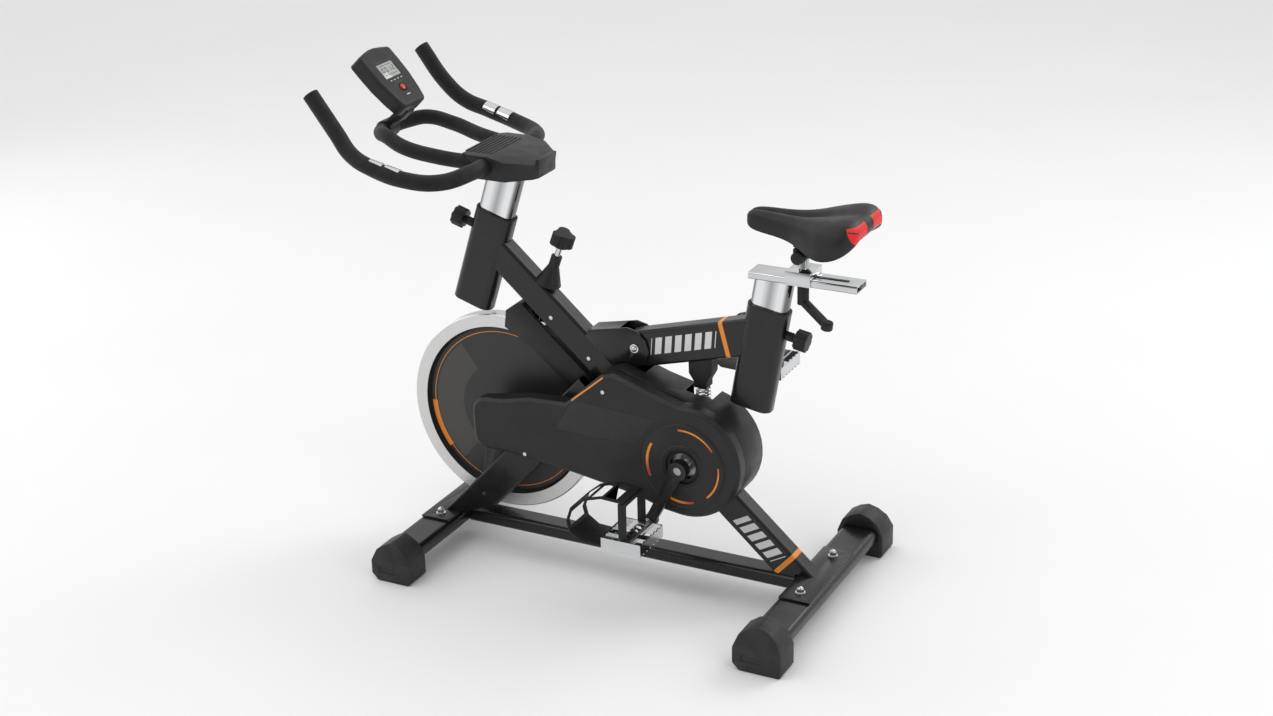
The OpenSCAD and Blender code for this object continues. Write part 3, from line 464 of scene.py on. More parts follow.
def marked_tube(look, name, start, end, bars, height, stripe):
    """Enamelled tube with pale slanted bars on its sides and an accent band around it.

    start and end lie on the tube's centre line in the side elevation; bars and stripe are
    stretches in millimetres from start, and height is the bars' reach across the tube.
    """
    f = Finish(name, look.paint, 0.30, 0.0, 0.35)
    f.lighter_edges(tuple(look.paint), (0.10, 0.10, 0.105), 0.5)
    run, rise = f.side_axes(start, end)
    facing = f.node("ShaderNodeSeparateXYZ", Vector=f.node("ShaderNodeNewGeometry").outputs["Normal"])
    flank = f.ramp(f.math("ABSOLUTE", facing.outputs["Y"]), 0.85, 0.9, 0, 1)
    leaning = f.math("ADD", run, f.math("MULTIPLY", rise, -0.35))
    share = f.math("FRACT", f.math("DIVIDE", leaning, BAR_PITCH))
    mask = f.math("MULTIPLY", f.ramp(share, 0.66, 0.675, 1, 0), f.ramp(share, 0.0, 0.015, 0, 1))
    mask = f.math("MULTIPLY", mask, f.between(leaning, bars[0], bars[1], 0.2))
    mask = f.math("MULTIPLY", mask, f.between(rise, height[0], height[1], 0.2))
    mask = f.math("MULTIPLY", mask, flank)
    base = f.socket("Base Color").links[0].from_socket
    marked = f.mix(mask, base, (0.72, 0.72, 0.72))
    f.colour(f.mix(f.between(run, stripe[0], stripe[1], 0.2), marked, tuple(look.accent)))
    return enamelled(f)


def flow_marks(f, base):
    """Colour of a moulding with faint flow marks in it."""
    return f.mix(f.ramp(f.noise(14, 3), 0.35, 0.65, 0, 1), base, tuple(c * 1.25 for c in base))


def spark_grain(f, gloss, grain):
    """Fine spark-eroded grain of a mould."""
    f.roughness(f.ramp(f.noise(35, 4), 0.3, 0.7, gloss - 0.07, gloss + 0.08))
    f.bump(f.cells(grain), 0.00010, 0.35)
    return f.material


def cover_face(look):
    """Belt cover plastic with the accent line along its shoulder."""
    f = Finish("cover_face_plastic", look.plastic, 0.38, 0.0, 0.35)
    run, rise = f.side_axes((-53, 385), (19, 446))
    line = f.math("MULTIPLY", f.between(run, 0, 94, 0.3), f.between(rise, -2.6, 0.4, 0.1))
    f.colour(f.mix(line, flow_marks(f, tuple(look.plastic)), tuple(look.accent)))
    return spark_grain(f, 0.40, 1900)


def bar_enamel(look):
    f = Finish("crank_enamel", look.paint, 0.34)
    f.lighter_edges(tuple(look.paint), (0.16, 0.16, 0.165), 0.6)
    f.roughness(f.ramp(f.noise(60, 4), 0.3, 0.7, 0.26, 0.42))
    f.bump(f.noise(900, 2), 0.0001, 0.3)
    return f.material


def moulded(look, name="cover_plastic", tone=1.0, gloss=0.42, grain=1900):
    """Moulded black plastic."""
    base = tuple(c * tone for c in look.plastic)
    f = Finish(name, base, gloss, 0.0, 0.35)
    f.colour(flow_marks(f, base))
    return spark_grain(f, gloss, grain)


def rubbery(name, colour, gloss, grain, depth):
    f = Finish(name, colour, gloss, 0.0, 0.35)
    f.colour(f.mix(f.ramp(f.noise(30, 4), 0.4, 0.6, 0, 1), colour, tuple(c * 1.4 + 0.002 for c in colour)))
    f.roughness(f.ramp(f.noise(80, 3), 0.3, 0.7, gloss - 0.06, gloss + 0.08))
    f.bump(f.noise(grain, 3, 0.6), depth, 0.5)
    return f.material


def foam(look):
    """Closed-cell grip foam: open pores under a slightly slick skin."""
    f = Finish("grip_foam", look.foam, 0.72, 0.0, 0.3)
    pores = f.cells(1500)
    f.colour(f.mix(f.ramp(pores, 0.05, 0.5, 0, 1), (0.008, 0.008, 0.009), tuple(look.foam)))
    f.roughness(f.ramp(f.noise(45, 4), 0.35, 0.65, 0.58, 0.78))
    f.bump(pores, 0.00025, 0.5)
    f.bump(f.noise(60, 3), 0.0004, 0.25)
    f.socket("Sheen Weight").default_value = 0.08
    return f.material


def vinyl(look):
    """Black saddle vinyl with a leather grain, and the red panels at its rear corners."""
    f = Finish("saddle_vinyl", look.vinyl, 0.48, 0.0, 0.4)
    split = f.node("ShaderNodeSeparateXYZ", Vector=f.place)
    across = f.math("ABSOLUTE", split.outputs["Y"])
    corner = mm(*RED_PANEL_AT)
    slope = f.math("ADD", split.outputs["X"], f.math("MULTIPLY", split.outputs["Z"], RED_PANEL_LEAN))
    edge = corner.x + RED_PANEL_LEAN * corner.z
    back = f.ramp(slope, edge - 0.0004, edge, 0, 1)
    low = f.ramp(split.outputs["Z"], corner.z + 0.0215, corner.z + 0.0220, 1, 0)
    side = f.ramp(across, corner.y - 0.0004, corner.y, 0, 1)
    panel = f.math("MULTIPLY", f.math("MULTIPLY", back, low), side)
    grain = f.cells(620)
    black = f.mix(f.ramp(grain, 0.0, 0.55, 0, 1), (0.006, 0.006, 0.0065), tuple(look.vinyl))
    f.colour(f.mix(panel, black, tuple(look.red)))
    f.roughness(f.ramp(f.noise(40, 4), 0.35, 0.65, 0.40, 0.55))
    f.bump(grain, 0.00022, 0.45)
    f.bump(f.noise(26, 4), 0.0007, 0.3)
    f.bump(panel, 0.0008, 0.6)
    return f.material


def chrome(look):
    """Bright plate with faint smudges and hairlines."""
    f = Finish("chrome_plate", (0.62, 0.63, 0.64), 0.12, 1.0)
    smudge = f.noise(22, 5, 0.6)
    f.roughness(f.ramp(smudge, 0.4, 0.75, 0.08, 0.16))
    f.colour(f.mix(f.ramp(f.noise(9, 3), 0.35, 0.7, 0, 1), (0.64, 0.65, 0.66), (0.56, 0.57, 0.58)))
    f.bump(f.noise(500, 2), 0.00001, 0.1)
    return f.material


def reflection_banded_chrome(name, start, end):
    """Bright plate of a post, with soft dark bands painted along its length as a painted reflection of the
    surroundings.
    """
    f = Finish(name, (0.70, 0.71, 0.72), 0.16, 1.0)
    _, aside = f.side_axes(start, end)
    # painted reflection: a soft dark band down the middle of each face and dark flanks towards its edges
    middle = f.between(aside, -9, 6, 9)
    reflection_flanks = f.math("SUBTRACT", 1.0, f.between(aside, -30, 30, 3))
    shade = f.math("MAXIMUM", f.math("MULTIPLY", middle, 0.75), reflection_flanks)
    f.colour(f.mix(shade, (0.78, 0.79, 0.80), (0.16, 0.16, 0.165)))
    f.roughness(f.ramp(f.noise(22, 5), 0.4, 0.75, 0.12, 0.2))
    return f.material


def turned_steel(look):
    f = Finish("turned_steel", (0.52, 0.53, 0.54), 0.3, 1.0)
    f.roughness(f.ramp(f.noise(160, 4), 0.3, 0.7, 0.22, 0.42))
    f.bump(f.noise(900, 2), 0.00006, 0.4)
    return f.material


def flywheel_iron(look):
    """Cast wheel: turned rim, painted disc with a lighter sector, accent circle and accent block."""
    f = Finish("flywheel_iron", (0.03, 0.03, 0.03), 0.38)
    radius, turn = f.radial(AXLE)

    rim = f.ramp(radius, 182.7, 183.2, 0, 1)
    lathe_marks = f.node("ShaderNodeTexNoise", Scale=1.0, Detail=2.0)
    lathe_marks.noise_dimensions = "1D"
    f.feed(lathe_marks.inputs["W"], f.math("MULTIPLY", radius, 3.0))
    circle = f.between(radius, 168.2, 169.8, 0.12)
    wrapped = f.math("FRACT", f.math("ADD", turn, 1.0))
    block = f.math("MULTIPLY", f.between(radius, 165.5, 177.0, 0.2),
                   f.between(wrapped, 0.508, 0.604, 0.0006))
    sector = f.math("MULTIPLY", f.between(radius, 100, 163.5, 0.3),
                    f.between(wrapped, 0.355, 0.640, 0.0008))
    ring_shade = f.ramp(radius, 169, 184, 0, 1)
    disc = f.mix(ring_shade, (0.022, 0.022, 0.022), (0.010, 0.010, 0.010))
    disc = f.mix(sector, disc, (0.060, 0.054, 0.047))
    disc = f.mix(f.math("MAXIMUM", circle, block), disc, tuple(look.accent))
    steel = f.mix(lathe_marks.outputs["Fac"], (0.50, 0.50, 0.50), (0.78, 0.78, 0.77))
    f.colour(f.mix(rim, disc, steel))
    f.feed(f.socket("Metallic"), rim)
    f.roughness(f.mix(rim, (0.40, 0.40, 0.40), (0.24, 0.24, 0.24)))
    f.bump(f.math("MULTIPLY", lathe_marks.outputs["Fac"], rim), 0.00010, 0.4)
    f.bump(f.math("MULTIPLY", f.noise(700, 3), f.math("SUBTRACT", 1.0, rim)), 0.00012, 0.35)
    return f.material


def ember(look):
    """Film that runs from orange to red around the crank."""
    f = Finish("accent_arc_film", look.accent, 0.34)
    _, turn = f.radial(CRANK)
    blend = f.math("SINE", f.math("MULTIPLY", turn, math.tau * 4))
    f.colour(f.mix(f.ramp(blend, -0.4, 1.0, 0, 1), tuple(look.accent), (0.45, 0.03, 0.02)))
    f.bump(f.noise(1200, 2), 0.00005, 0.3)
    return f.material


def pale_film(look):
    f = Finish("pale_film", (0.80, 0.80, 0.80), 0.40)
    f.colour(f.mix(f.ramp(f.noise(250, 4), 0.4, 0.7, 0, 1), (0.82, 0.82, 0.82), (0.66, 0.66, 0.66)))
    f.bump(f.noise(1000, 2), 0.00005, 0.3)
    return f.material


def red_cap(look):
    f = Finish("red_cap", look.red, 0.3)
    f.colour(f.mix(f.ramp(f.noise(200, 3), 0.4, 0.6, 0, 1), tuple(look.red),
                   tuple(c * 0.8 for c in look.red)))
    f.bump(f.noise(1500, 2), 0.00004, 0.3)
    f.socket("Coat Weight").default_value = 0.4
    return f.material


def display(look):
    """Grey liquid-crystal panel; its seven-segment bars are separate pieces."""
    f = Finish("display_panel", (0.42, 0.46, 0.42), 0.16)
    f.colour(f.mix(f.ramp(f.noise(60, 3), 0.3, 0.7, 0, 1), (0.44, 0.47, 0.44), (0.36, 0.39, 0.36)))
    f.roughness(f.ramp(f.noise(150, 3), 0.3, 0.7, 0.10, 0.22))
    f.socket("Coat Weight").default_value = 0.8
    f.socket("Coat Roughness").default_value = 0.04
    return f.material


def studio_floor():
    f = Finish("studio_floor", (0.92, 0.92, 0.92), 0.85)
    f.colour(f.mix(f.noise(2.0, 2), (0.93, 0.93, 0.93), (0.90, 0.90, 0.90)))
    return f.material


LOOKS = {}


def looks():
    """Every finish by name, made once from the colours in the panel."""
    if not LOOKS:
        look = bpy.context.scene.bike_colours
        LOOKS.update(
            enamel=tube_paint(look),
            main_tube=marked_tube(look, "main_tube_enamel", (-248, 636.7), (447, 13.2),
                                  (707, 816), (-17, 17), (827, 837)),
            top_tube=marked_tube(look, "top_tube_enamel", (56, 488), (250, 540),
                                 (35, 178), (-18, 15), (190, 199)),
            cover_face=cover_face(look), crank=bar_enamel(look), cover=moulded(look),
            panel=moulded(look, "cover_panel_plastic", 1.9, 0.5),
            trim=moulded(look, "trim_plastic", 0.8, 0.5, 1500),
            dark=rubbery("dark_recess", (0.004, 0.004, 0.004), 0.7, 800, 0.0001),
            foam=foam(look), caps=rubbery("cap_rubber", (0.020, 0.020, 0.021), 0.5, 900, 0.00025),
            belt=rubbery("belt_rubber", (0.012, 0.012, 0.012), 0.65, 700, 0.0002),
            vinyl=vinyl(look), chrome=chrome(look), steel=turned_steel(look),
            iron=flywheel_iron(look), ember=ember(look),
            head_post=reflection_banded_chrome("head_post_chrome", (-316, 524.1), (-255.5, 714.7)),
            seat_post=reflection_banded_chrome("seat_post_chrome", (294.4, 403), (329.8, 599.8)),
            pale=pale_film(look), red=red_cap(look), display=display(look),
        )
    return LOOKS


# ------------------------------------------------------------------ shapes that need more than a prism

def loft(name, rings):
    """Closed skin over rings of points in millimetres of the drawing, from a grid rolled into shape."""
    around = len(rings[0])
    free_selection()
    bpy.ops.mesh.primitive_grid_add(x_subdivisions=around, y_subdivisions=len(rings) - 1, size=1)
    obj = bpy.context.object
    obj.name = obj.data.name = name
    for j, ring in enumerate(rings):
        for i in range(around + 1):
            obj.data.vertices[j * (around + 1) + i].co = mm(*ring[i % around])
    bpy.ops.object.mode_set(mode="EDIT")
    bpy.ops.mesh.select_all(action="SELECT")
    bpy.ops.mesh.remove_doubles(threshold=1e-5)
    bpy.ops.mesh.select_all(action="DESELECT")
    bpy.ops.mesh.select_non_manifold()
    bpy.ops.mesh.edge_face_add()
    bpy.ops.object.mode_set(mode="OBJECT")
    outward(obj)
    return obj


def subdivided(obj, levels=2):
    modifier = obj.modifiers.new("Rounding", "SUBSURF")
    modifier.levels = modifier.render_levels = levels
    apply_modifiers(obj)
    smooth(obj, 60)
    return obj


def carve(obj, cutter):
    """Cuts a tool's shape out of a piece and removes the tool."""
    cut = obj.modifiers.new("Opening", "BOOLEAN")
    cut.object = cutter
    cut.operation = "DIFFERENCE"
    cut.solver = "EXACT"
    apply_modifiers(obj)
    bpy.data.objects.remove(cutter)
    return obj


def ring_solid(name, profile, matrix, steps=64):
    """Ring turned about local Z from a closed loop of (radius, height) pairs."""
    free_selection()
    bpy.ops.mesh.primitive_circle_add(vertices=len(profile), radius=1, fill_type="NOTHING")
    obj = bpy.context.object
    obj.name = obj.data.name = name
    for vertex, (radius, height) in zip(obj.data.vertices, profile):
        vertex.co = (radius, 0, height)
    bpy.ops.object.mode_set(mode="EDIT")
    bpy.ops.mesh.select_all(action="SELECT")
    bpy.ops.mesh.spin(steps=steps, angle=math.tau, center=(0, 0, 0), axis=(0, 0, 1))
    bpy.ops.mesh.select_all(action="SELECT")
    bpy.ops.mesh.remove_doubles(threshold=1e-3)
    bpy.ops.object.mode_set(mode="OBJECT")
    settle(obj, matrix)
    outward(obj)
    smooth(obj, 30)
    return obj


def about(point):
    """Side elevation with its zero at a point of the drawing: local Z points to the rider's left."""
    return drawing(*point) @ Matrix.Rotation(math.radians(90), 4, "X")


def along(a, b, t):
    return tuple(p + (q - p) * t for p, q in zip(a, b))


def both(points):
    """A path out from the middle plane and its mirror image, as one path from left to right."""
    return [(x, -y, z) for x, y, z in reversed(points)] + points[1:]


# ------------------------------------------------------------------ sizes and colours in the panel

def length(name, description, default, low, high):
    return bpy.props.FloatProperty(
        name=name, description=description, default=default, min=low, max=high, unit="LENGTH")


def shade(name, description, default):
    return bpy.props.FloatVectorProperty(
        name=name, description=description, default=default, size=3, subtype="COLOR", min=0, max=1)


class BikeColours(bpy.types.PropertyGroup):
    """Colours of the finishes"""
    paint: shade("Enamel", "Enamel on the steel tubes", (0.007, 0.007, 0.0073))
    plastic: shade("Moulded plastic", "Covers, tray and console", (0.013, 0.013, 0.0133))
    foam: shade("Grip foam", "Foam on the handlebar", (0.011, 0.011, 0.0113))
    vinyl: shade("Saddle vinyl", "Saddle cover", (0.010, 0.010, 0.0103))
    accent: shade("Accent", "Stripes, arcs and circle", (0.86, 0.27, 0.02))
    red: shade("Red", "Console button and saddle corners", (0.80, 0.012, 0.012))


class BikeSizes(bpy.types.PropertyGroup):
    """Sizes of the dressed pieces"""
    bar_foam: length("Bar foam", "Radius over the foam of the outer bar", 0.0160, 0.014, 0.018)
    loop_foam: length("Loop foam", "Radius over the foam of the inner loop", 0.0148, 0.013, 0.016)
    cover_margin: length("Cover margin", "Sloping margin around the belt cover", 0.007, 0.004, 0.012)
    saddle_groove: length("Saddle groove", "Depth of the channel along the saddle", 0.012, 0.0, 0.016)
    spring_wire: length("Spring wire", "Radius of the seat spring's wire", 0.0026, 0.002, 0.003)


class BikeOperator:
    bl_options = {"REGISTER", "UNDO"}

    @classmethod
    def poll(cls, context):
        return context.mode == "OBJECT"


# ------------------------------------------------------------------ pieces

FINISH_OF_SLOT = {
    "frame_paint": "enamel", "bar_paint": "enamel", "chrome_steel": "chrome",
    "machined_steel": "steel", "flywheel_iron": "iron", "cover_plastic": "cover",
    "trim_plastic": "trim", "foam_grip": "foam", "cap_rubber": "caps", "belt_rubber": "belt",
    "saddle_vinyl": "vinyl", "screen_glass": "display", "red_plastic": "red",
}
SLOT_OF = {entry["node"]: entry["material_slot"] for entry in frame["record"]["subparts"]}
BODY_OF = {n: body for body, names in frame["record"]["behaviour"]["bodies"].items() for n in names}


class BIKE_OT_finishes(BikeOperator, bpy.types.Operator):
    """Give every frame node its finish"""
    bl_idname = "bike.finishes"
    bl_label = "Finish the frame"

    def execute(self, context):
        for node, obj in NODES.items():
            paint(obj, looks()[FINISH_OF_SLOT[SLOT_OF[node]]])
            smooth(obj, 30)
        for arm in ("crank_arm_left", "crank_arm_right"):
            paint(NODES[arm], looks()["crank"])
        paint(NODES["main_tube"], looks()["main_tube"])
        paint(NODES["top_tube"], looks()["top_tube"])
        paint(NODES["handlebar_post"], looks()["head_post"])
        paint(NODES["seat_post"], looks()["seat_post"])
        return {"FINISHED"}


ROUNDED = {
    "stabiliser_caps": 2.4, "foot_plates": 0.9, "dropout_plates": 1.2, "pivot_bracket": 1.4,
    "saddle_carriage": 0.9, "slider_lever": 2.6, "device_tray": 2.2, "flywheel_guard": 1.6,
    "belt_cover_inner": 1.8, "crank_arm_left": 2.4, "crank_arm_right": 2.4, "saddle_clamp": 1.2,
    "brake_knob": 2.0, "seat_pin": 1.2, "head_pin": 1.2, "shock_bracket": 1.4, "slider_bar": 0.8,
    "toe_cage_left": 0.9, "toe_cage_right": 0.9,
}


class BIKE_OT_rounded_parts(BikeOperator, bpy.types.Operator):
    """Stand rounded castings and mouldings in for the sharp ones"""
    bl_idname = "bike.rounded_parts"
    bl_label = "Round the edges"

    def execute(self, context):
        for node, width in ROUNDED.items():
            obj = softened(node, width)
            finish = "crank" if node.startswith("crank_arm") else FINISH_OF_SLOT[SLOT_OF[node]]
            fit(obj, BODY_OF[node], SLOT_OF[node], looks()[finish], stands_for=[node])
        return {"FINISHED"}


COVER_OUTLINE = (
    [(-214, 357), (-254, 354), (-268, 349), (-277, 340), (-281.5, 326), (-280, 270)]
    + [(-275, 256), (-265, 247), (-250, 243), (-203, 243), (-51, 226), (88, 204), (140, 187)]
    + arc((192, 297), 116, -100, 96, 30)
    + [(110, 432), (40, 456), (12, 448), (-66, 376), (-150, 372)]
)
COVER_PANEL = [(-89, 319), (90, 316), (128, 375), (-46, 387)]
CRANK_ARCS = [(97, 34), (8, -48), (-72, -112), (205, 150)]


class BIKE_OT_belt_cover(BikeOperator, bpy.types.Operator):
    """Model the outer belt cover, its crank disc and its accents"""
    bl_idname = "bike.belt_cover"
    bl_label = "Belt cover"

    def execute(self, context):
        margin = context.scene.bike_sizes.cover_margin * 1000
        shell = prism("belt_cover_shell", COVER_OUTLINE, 61, COVER_FACE, draft=(margin, margin))
        take(shell)
        bpy.ops.object.mode_set(mode="EDIT")
        mesh = bmesh.from_edit_mesh(shell.data)
        for face in mesh.faces:
            face.select = face.normal.y > 0.9
        bmesh.update_edit_mesh(shell.data)
        bpy.ops.mesh.delete(type="FACE")
        bpy.ops.object.mode_set(mode="OBJECT")
        wall = shell.modifiers.new("Wall", "SOLIDIFY")
        wall.thickness = 0.003
        wall.offset = -1
        apply_modifiers(shell)
        bore = prism("bore", arc((0, 0), 30, 0, 354, 59), 40, 120, about(CRANK))
        carve(shell, bore)
        round_edges(shell, 0.0016, 3)
        fit(shell, "frame", "cover_plastic", looks()["cover_face"], stands_for=["belt_cover_outer"])

        disc = ring_solid("crank_disc", [
            (27, 88), (27, 92.4), (33.5, 92.8), (34.5, 96.3), (36, 97.2), (43, 97.2), (45, 95.6),
            (47, 94.9), (84, 94.9), (86.4, 94.2), (88, 92.6), (88, 91), (60, 88),
        ], about(CRANK), 96)
        fit(disc, "frame", "cover_plastic", looks()["cover"])

        panel = prism("cover_panel", COVER_PANEL, COVER_FACE - 0.6, COVER_FACE + 0.5, edge=0.4)
        fit(panel, "frame", "cover_plastic", looks()["panel"])

        for number, (start, end) in enumerate(CRANK_ARCS):
            outline = arc((0, 0), 78.0, start, end, 16) + arc((1.2, 0.6), 73.6, end, start, 16)
            film = prism(f"crank_arc_{number + 1}", outline, 94.6, 95.3, about(CRANK), 0.15, 2)
            fit(film, "frame", "cover_plastic", looks()["ember"])
        return {"FINISHED"}


class BIKE_OT_handlebar(BikeOperator, bpy.types.Operator):
    """Model the foam-covered outer bar and inner loop, their end plugs and the pulse plates"""
    bl_idname = "bike.handlebar"
    bl_label = "Handlebar"

    def execute(self, context):
        sizes = context.scene.bike_sizes
        radius = sizes.bar_foam * 1000
        straight = [(-234, 0, 838), (-234, 45, 838), (-234, 90, 838)]
        half = straight + BAR_PATH
        foam_bar = tube("bar_foam", both(half), radius, sides=9)
        round_edges(foam_bar, 0.0025, 3)
        fit(foam_bar, "handlebar", "foam_grip", looks()["foam"],
            stands_for=["handlebar", "handlebar_grips"])

        foam_loop = tube("loop_foam", both([LOOP_FRONT] + LOOP_PATH[::-1]),
                         sizes.loop_foam * 1000, sides=9)
        fit(foam_loop, "handlebar", "foam_grip", looks()["foam"])
        smooth(foam_loop, 40)

        for side, hand in ((-1, "left"), (1, "right")):
            plug = lathe(f"end_plug_{hand}", [
                (0, 2.4), (7, 2.2), (12, 1.4), (radius - 1.2, 0.2), (radius - 1.0, -2), (0, -2)],
                self.tip(side), 40)
            fit(plug, "handlebar", "foam_grip", looks()["trim"])
            saddle_plates = []
            for start, end in ((0.18, 0.58), (0.66, 1.04)):
                a, b = BAR_PATH[2], BAR_PATH[3]
                points = [along(a, b, start + (end - start) * k / 4) for k in range(5)]
                bow = [0.8 * math.sin((x - a[0]) / (b[0] - a[0]) * math.pi) for x, _, _ in points]
                points = [(x, side * (y + out), z) for (x, y, z), out in zip(points, bow)]
                saddle_plates.append(self.plate(points, radius + 0.7, side))
            plates = joined(f"pulse_plates_{hand}", saddle_plates)
            stands_for = ["pulse_plates"] if side < 0 else []
            fit(plates, "handlebar", "chrome_steel", looks()["chrome"], stands_for=stands_for)
        return {"FINISHED"}

    def tip(self, side):
        """Frame at a horn's tip, local Z along the bar."""
        end = Vector(BAR_PATH[-1])
        run = (end - Vector(BAR_PATH[-2])).normalized()
        place = (end.x, side * end.y, end.z)
        run.y *= side
        return drawing(*place) @ run.to_track_quat("Z", "Y").to_matrix().to_4x4()

    def plate(self, points, radius, side):
        """Bright shell on the upper inner side of the bar."""
        shell = tube("plate", points, radius, sides=12)
        middle = mm(*points[2])
        inward = Vector((0.25, -side * 0.45, 0.86)).normalized()
        bpy.ops.object.mode_set(mode="EDIT")
        bpy.ops.mesh.select_all(action="SELECT")
        bpy.ops.mesh.bisect(plane_co=middle + inward * 0.010, plane_no=inward, clear_inner=True)
        mesh = bmesh.from_edit_mesh(shell.data)
        along_bar = (mm(*points[-1]) - mm(*points[0])).normalized()
        for face in mesh.faces:
            face.select = abs(face.normal.dot(along_bar)) > 0.8
        bmesh.update_edit_mesh(shell.data)
        bpy.ops.mesh.delete(type="FACE")
        bpy.ops.object.mode_set(mode="OBJECT")
        wall = shell.modifiers.new("Wall", "SOLIDIFY")
        wall.thickness = 0.0012
        wall.offset = -1
        apply_modifiers(shell)
        round_edges(shell, 0.0004, 2, 50)
        return shell


CONSOLE = drawing(-428, 0, 923) @ Matrix.Rotation(math.radians(90), 4, "Z") \
    @ Matrix.Rotation(math.radians(45.7), 4, "X")
CONSOLE_HALF = (
    [(28, 0)] + arc((28, 15), 15, -80, -18, 6) + [(48, 30), (54.5, 66), (56, 100)]
    + arc((47.5, 126), 8, 0, 60, 4) + [(28, 138), (9, 141)]
)
CONSOLE_OUTLINE = CONSOLE_HALF + [(-x, y) for x, y in reversed(CONSOLE_HALF)]
DIGIT_BARS = {
    "a": (0, 5, 5, 1.1), "g": (0, 0, 5, 1.1), "d": (0, -5, 5, 1.1),
    "f": (-2.9, 2.5, 1.1, 4), "b": (2.9, 2.5, 1.1, 4), "e": (-2.9, -2.5, 1.1, 4),
    "c": (2.9, -2.5, 1.1, 4),
}


def rectangle(x, y, w, h):
    return [(x - w / 2, y - h / 2), (x + w / 2, y - h / 2), (x + w / 2, y + h / 2), (x - w / 2, y + h / 2)]


class BIKE_OT_console(BikeOperator, bpy.types.Operator):
    """Model the console, its neck and clamp, its display and its button"""
    bl_idname = "bike.console"
    bl_label = "Console"

    def execute(self, context):
        body = prism("console_body", CONSOLE_OUTLINE, -30, 0, CONSOLE, draft=(3.5, 5))
        carve(body, prism("window", rectangle(0, 86, 54, 34), -2.2, 9, CONSOLE))
        carve(body, prism("button_well", arc((0, 42), 9.2, 0, 352, 45), -6.6, 9, CONSOLE))
        round_edges(body, 0.0016, 3)
        neck = prism("console_neck", [
            (-486, 858), (-480, 876), (-462, 884), (-440, 905), (-447, 917), (-459, 925),
            (-470, 905), (-512, 868)], -15, 15)
        round_edges(neck, 0.0035, 3)
        clamp = ring_solid("console_clamp", [
            (14.9, -18), (17.5, -18), (18.6, -16.5), (18.6, 16.5), (17.5, 18), (14.9, 18)],
            about((-498, 0, 864)))
        housing = joined("console_case", [body, neck, clamp])
        smooth(housing, 40)
        fit(housing, "console", "cover_plastic", looks()["cover"], stands_for=["console_housing"])

        screen = prism("display_glass", rectangle(0, 86, 53.8, 33.8), -2.6, -1.0, CONSOLE, 0.4)
        fit(screen, "console", "screen_glass", looks()["display"], stands_for=["console_screen"])
        bars = []
        for place, shape in zip((-17, -5.5, 6.5, 18), ("abcdef", "abcdef", "bc", "abged")):
            for segment in shape:
                x, y, w, h = DIGIT_BARS[segment]
                bars.append(prism("bar", rectangle(place + x, 88 + y, w, h), -1.2, -0.8, CONSOLE))
        for y in (76, 98):
            bars.append(prism("bar", rectangle(0, y, 44, 0.8), -1.2, -0.8, CONSOLE))
        fit(joined("display_bars", bars), "console", "screen_glass", looks()["dark"])

        marks = [prism("mark", rectangle(x, 62, 5.5, 1.6), -0.3, 0.2, CONSOLE) for x in (-18, -6, 6, 18)]
        marks.append(prism("mark", rectangle(0, 24, 12, 1.8), -0.3, 0.2, CONSOLE))
        fit(joined("console_marks", marks), "console", "cover_plastic", looks()["pale"])

        bezel = ring_solid("button_bezel", [
            (7.6, -3), (7.6, 0.7), (8.4, 1.0), (9.8, 0.6), (10.2, -0.4), (9.0, -3)],
            CONSOLE @ Matrix.Translation((0, 42, 0)), 48)
        fit(bezel, "console", "trim_plastic", looks()["dark"])
        cap = lathe("button_cap", [
            (0, 2.4), (3.5, 2.2), (5.8, 1.5), (6.9, 0.4), (7.1, -1), (7.1, -4), (0, -4)],
            CONSOLE @ Matrix.Translation((0, 42, 0)), 48)
        fit(cap, "console_button", "red_plastic", looks()["red"], stands_for=["console_button"])
        return {"FINISHED"}


# Saddle stations: position, half width, skirt height, side crest height
SADDLE_STATIONS = [
    (287.5, 9, 776, 787), (291, 16, 770, 795), (302, 22, 764, 800), (325, 26, 761, 801),
    (352, 30, 759, 800), (380, 38, 756, 800), (405, 51, 750, 801), (428, 67, 742, 805),
    (450, 82, 739, 810), (474, 91, 743, 815), (494, 94, 751, 818), (509, 90, 760, 817),
    (520, 80, 770, 811), (526, 66, 779, 803), (528, 52, 786, 796),
]
SADDLE_BASE = [(386, 13), (402, 22), (430, 40), (455, 48), (472, 42)]


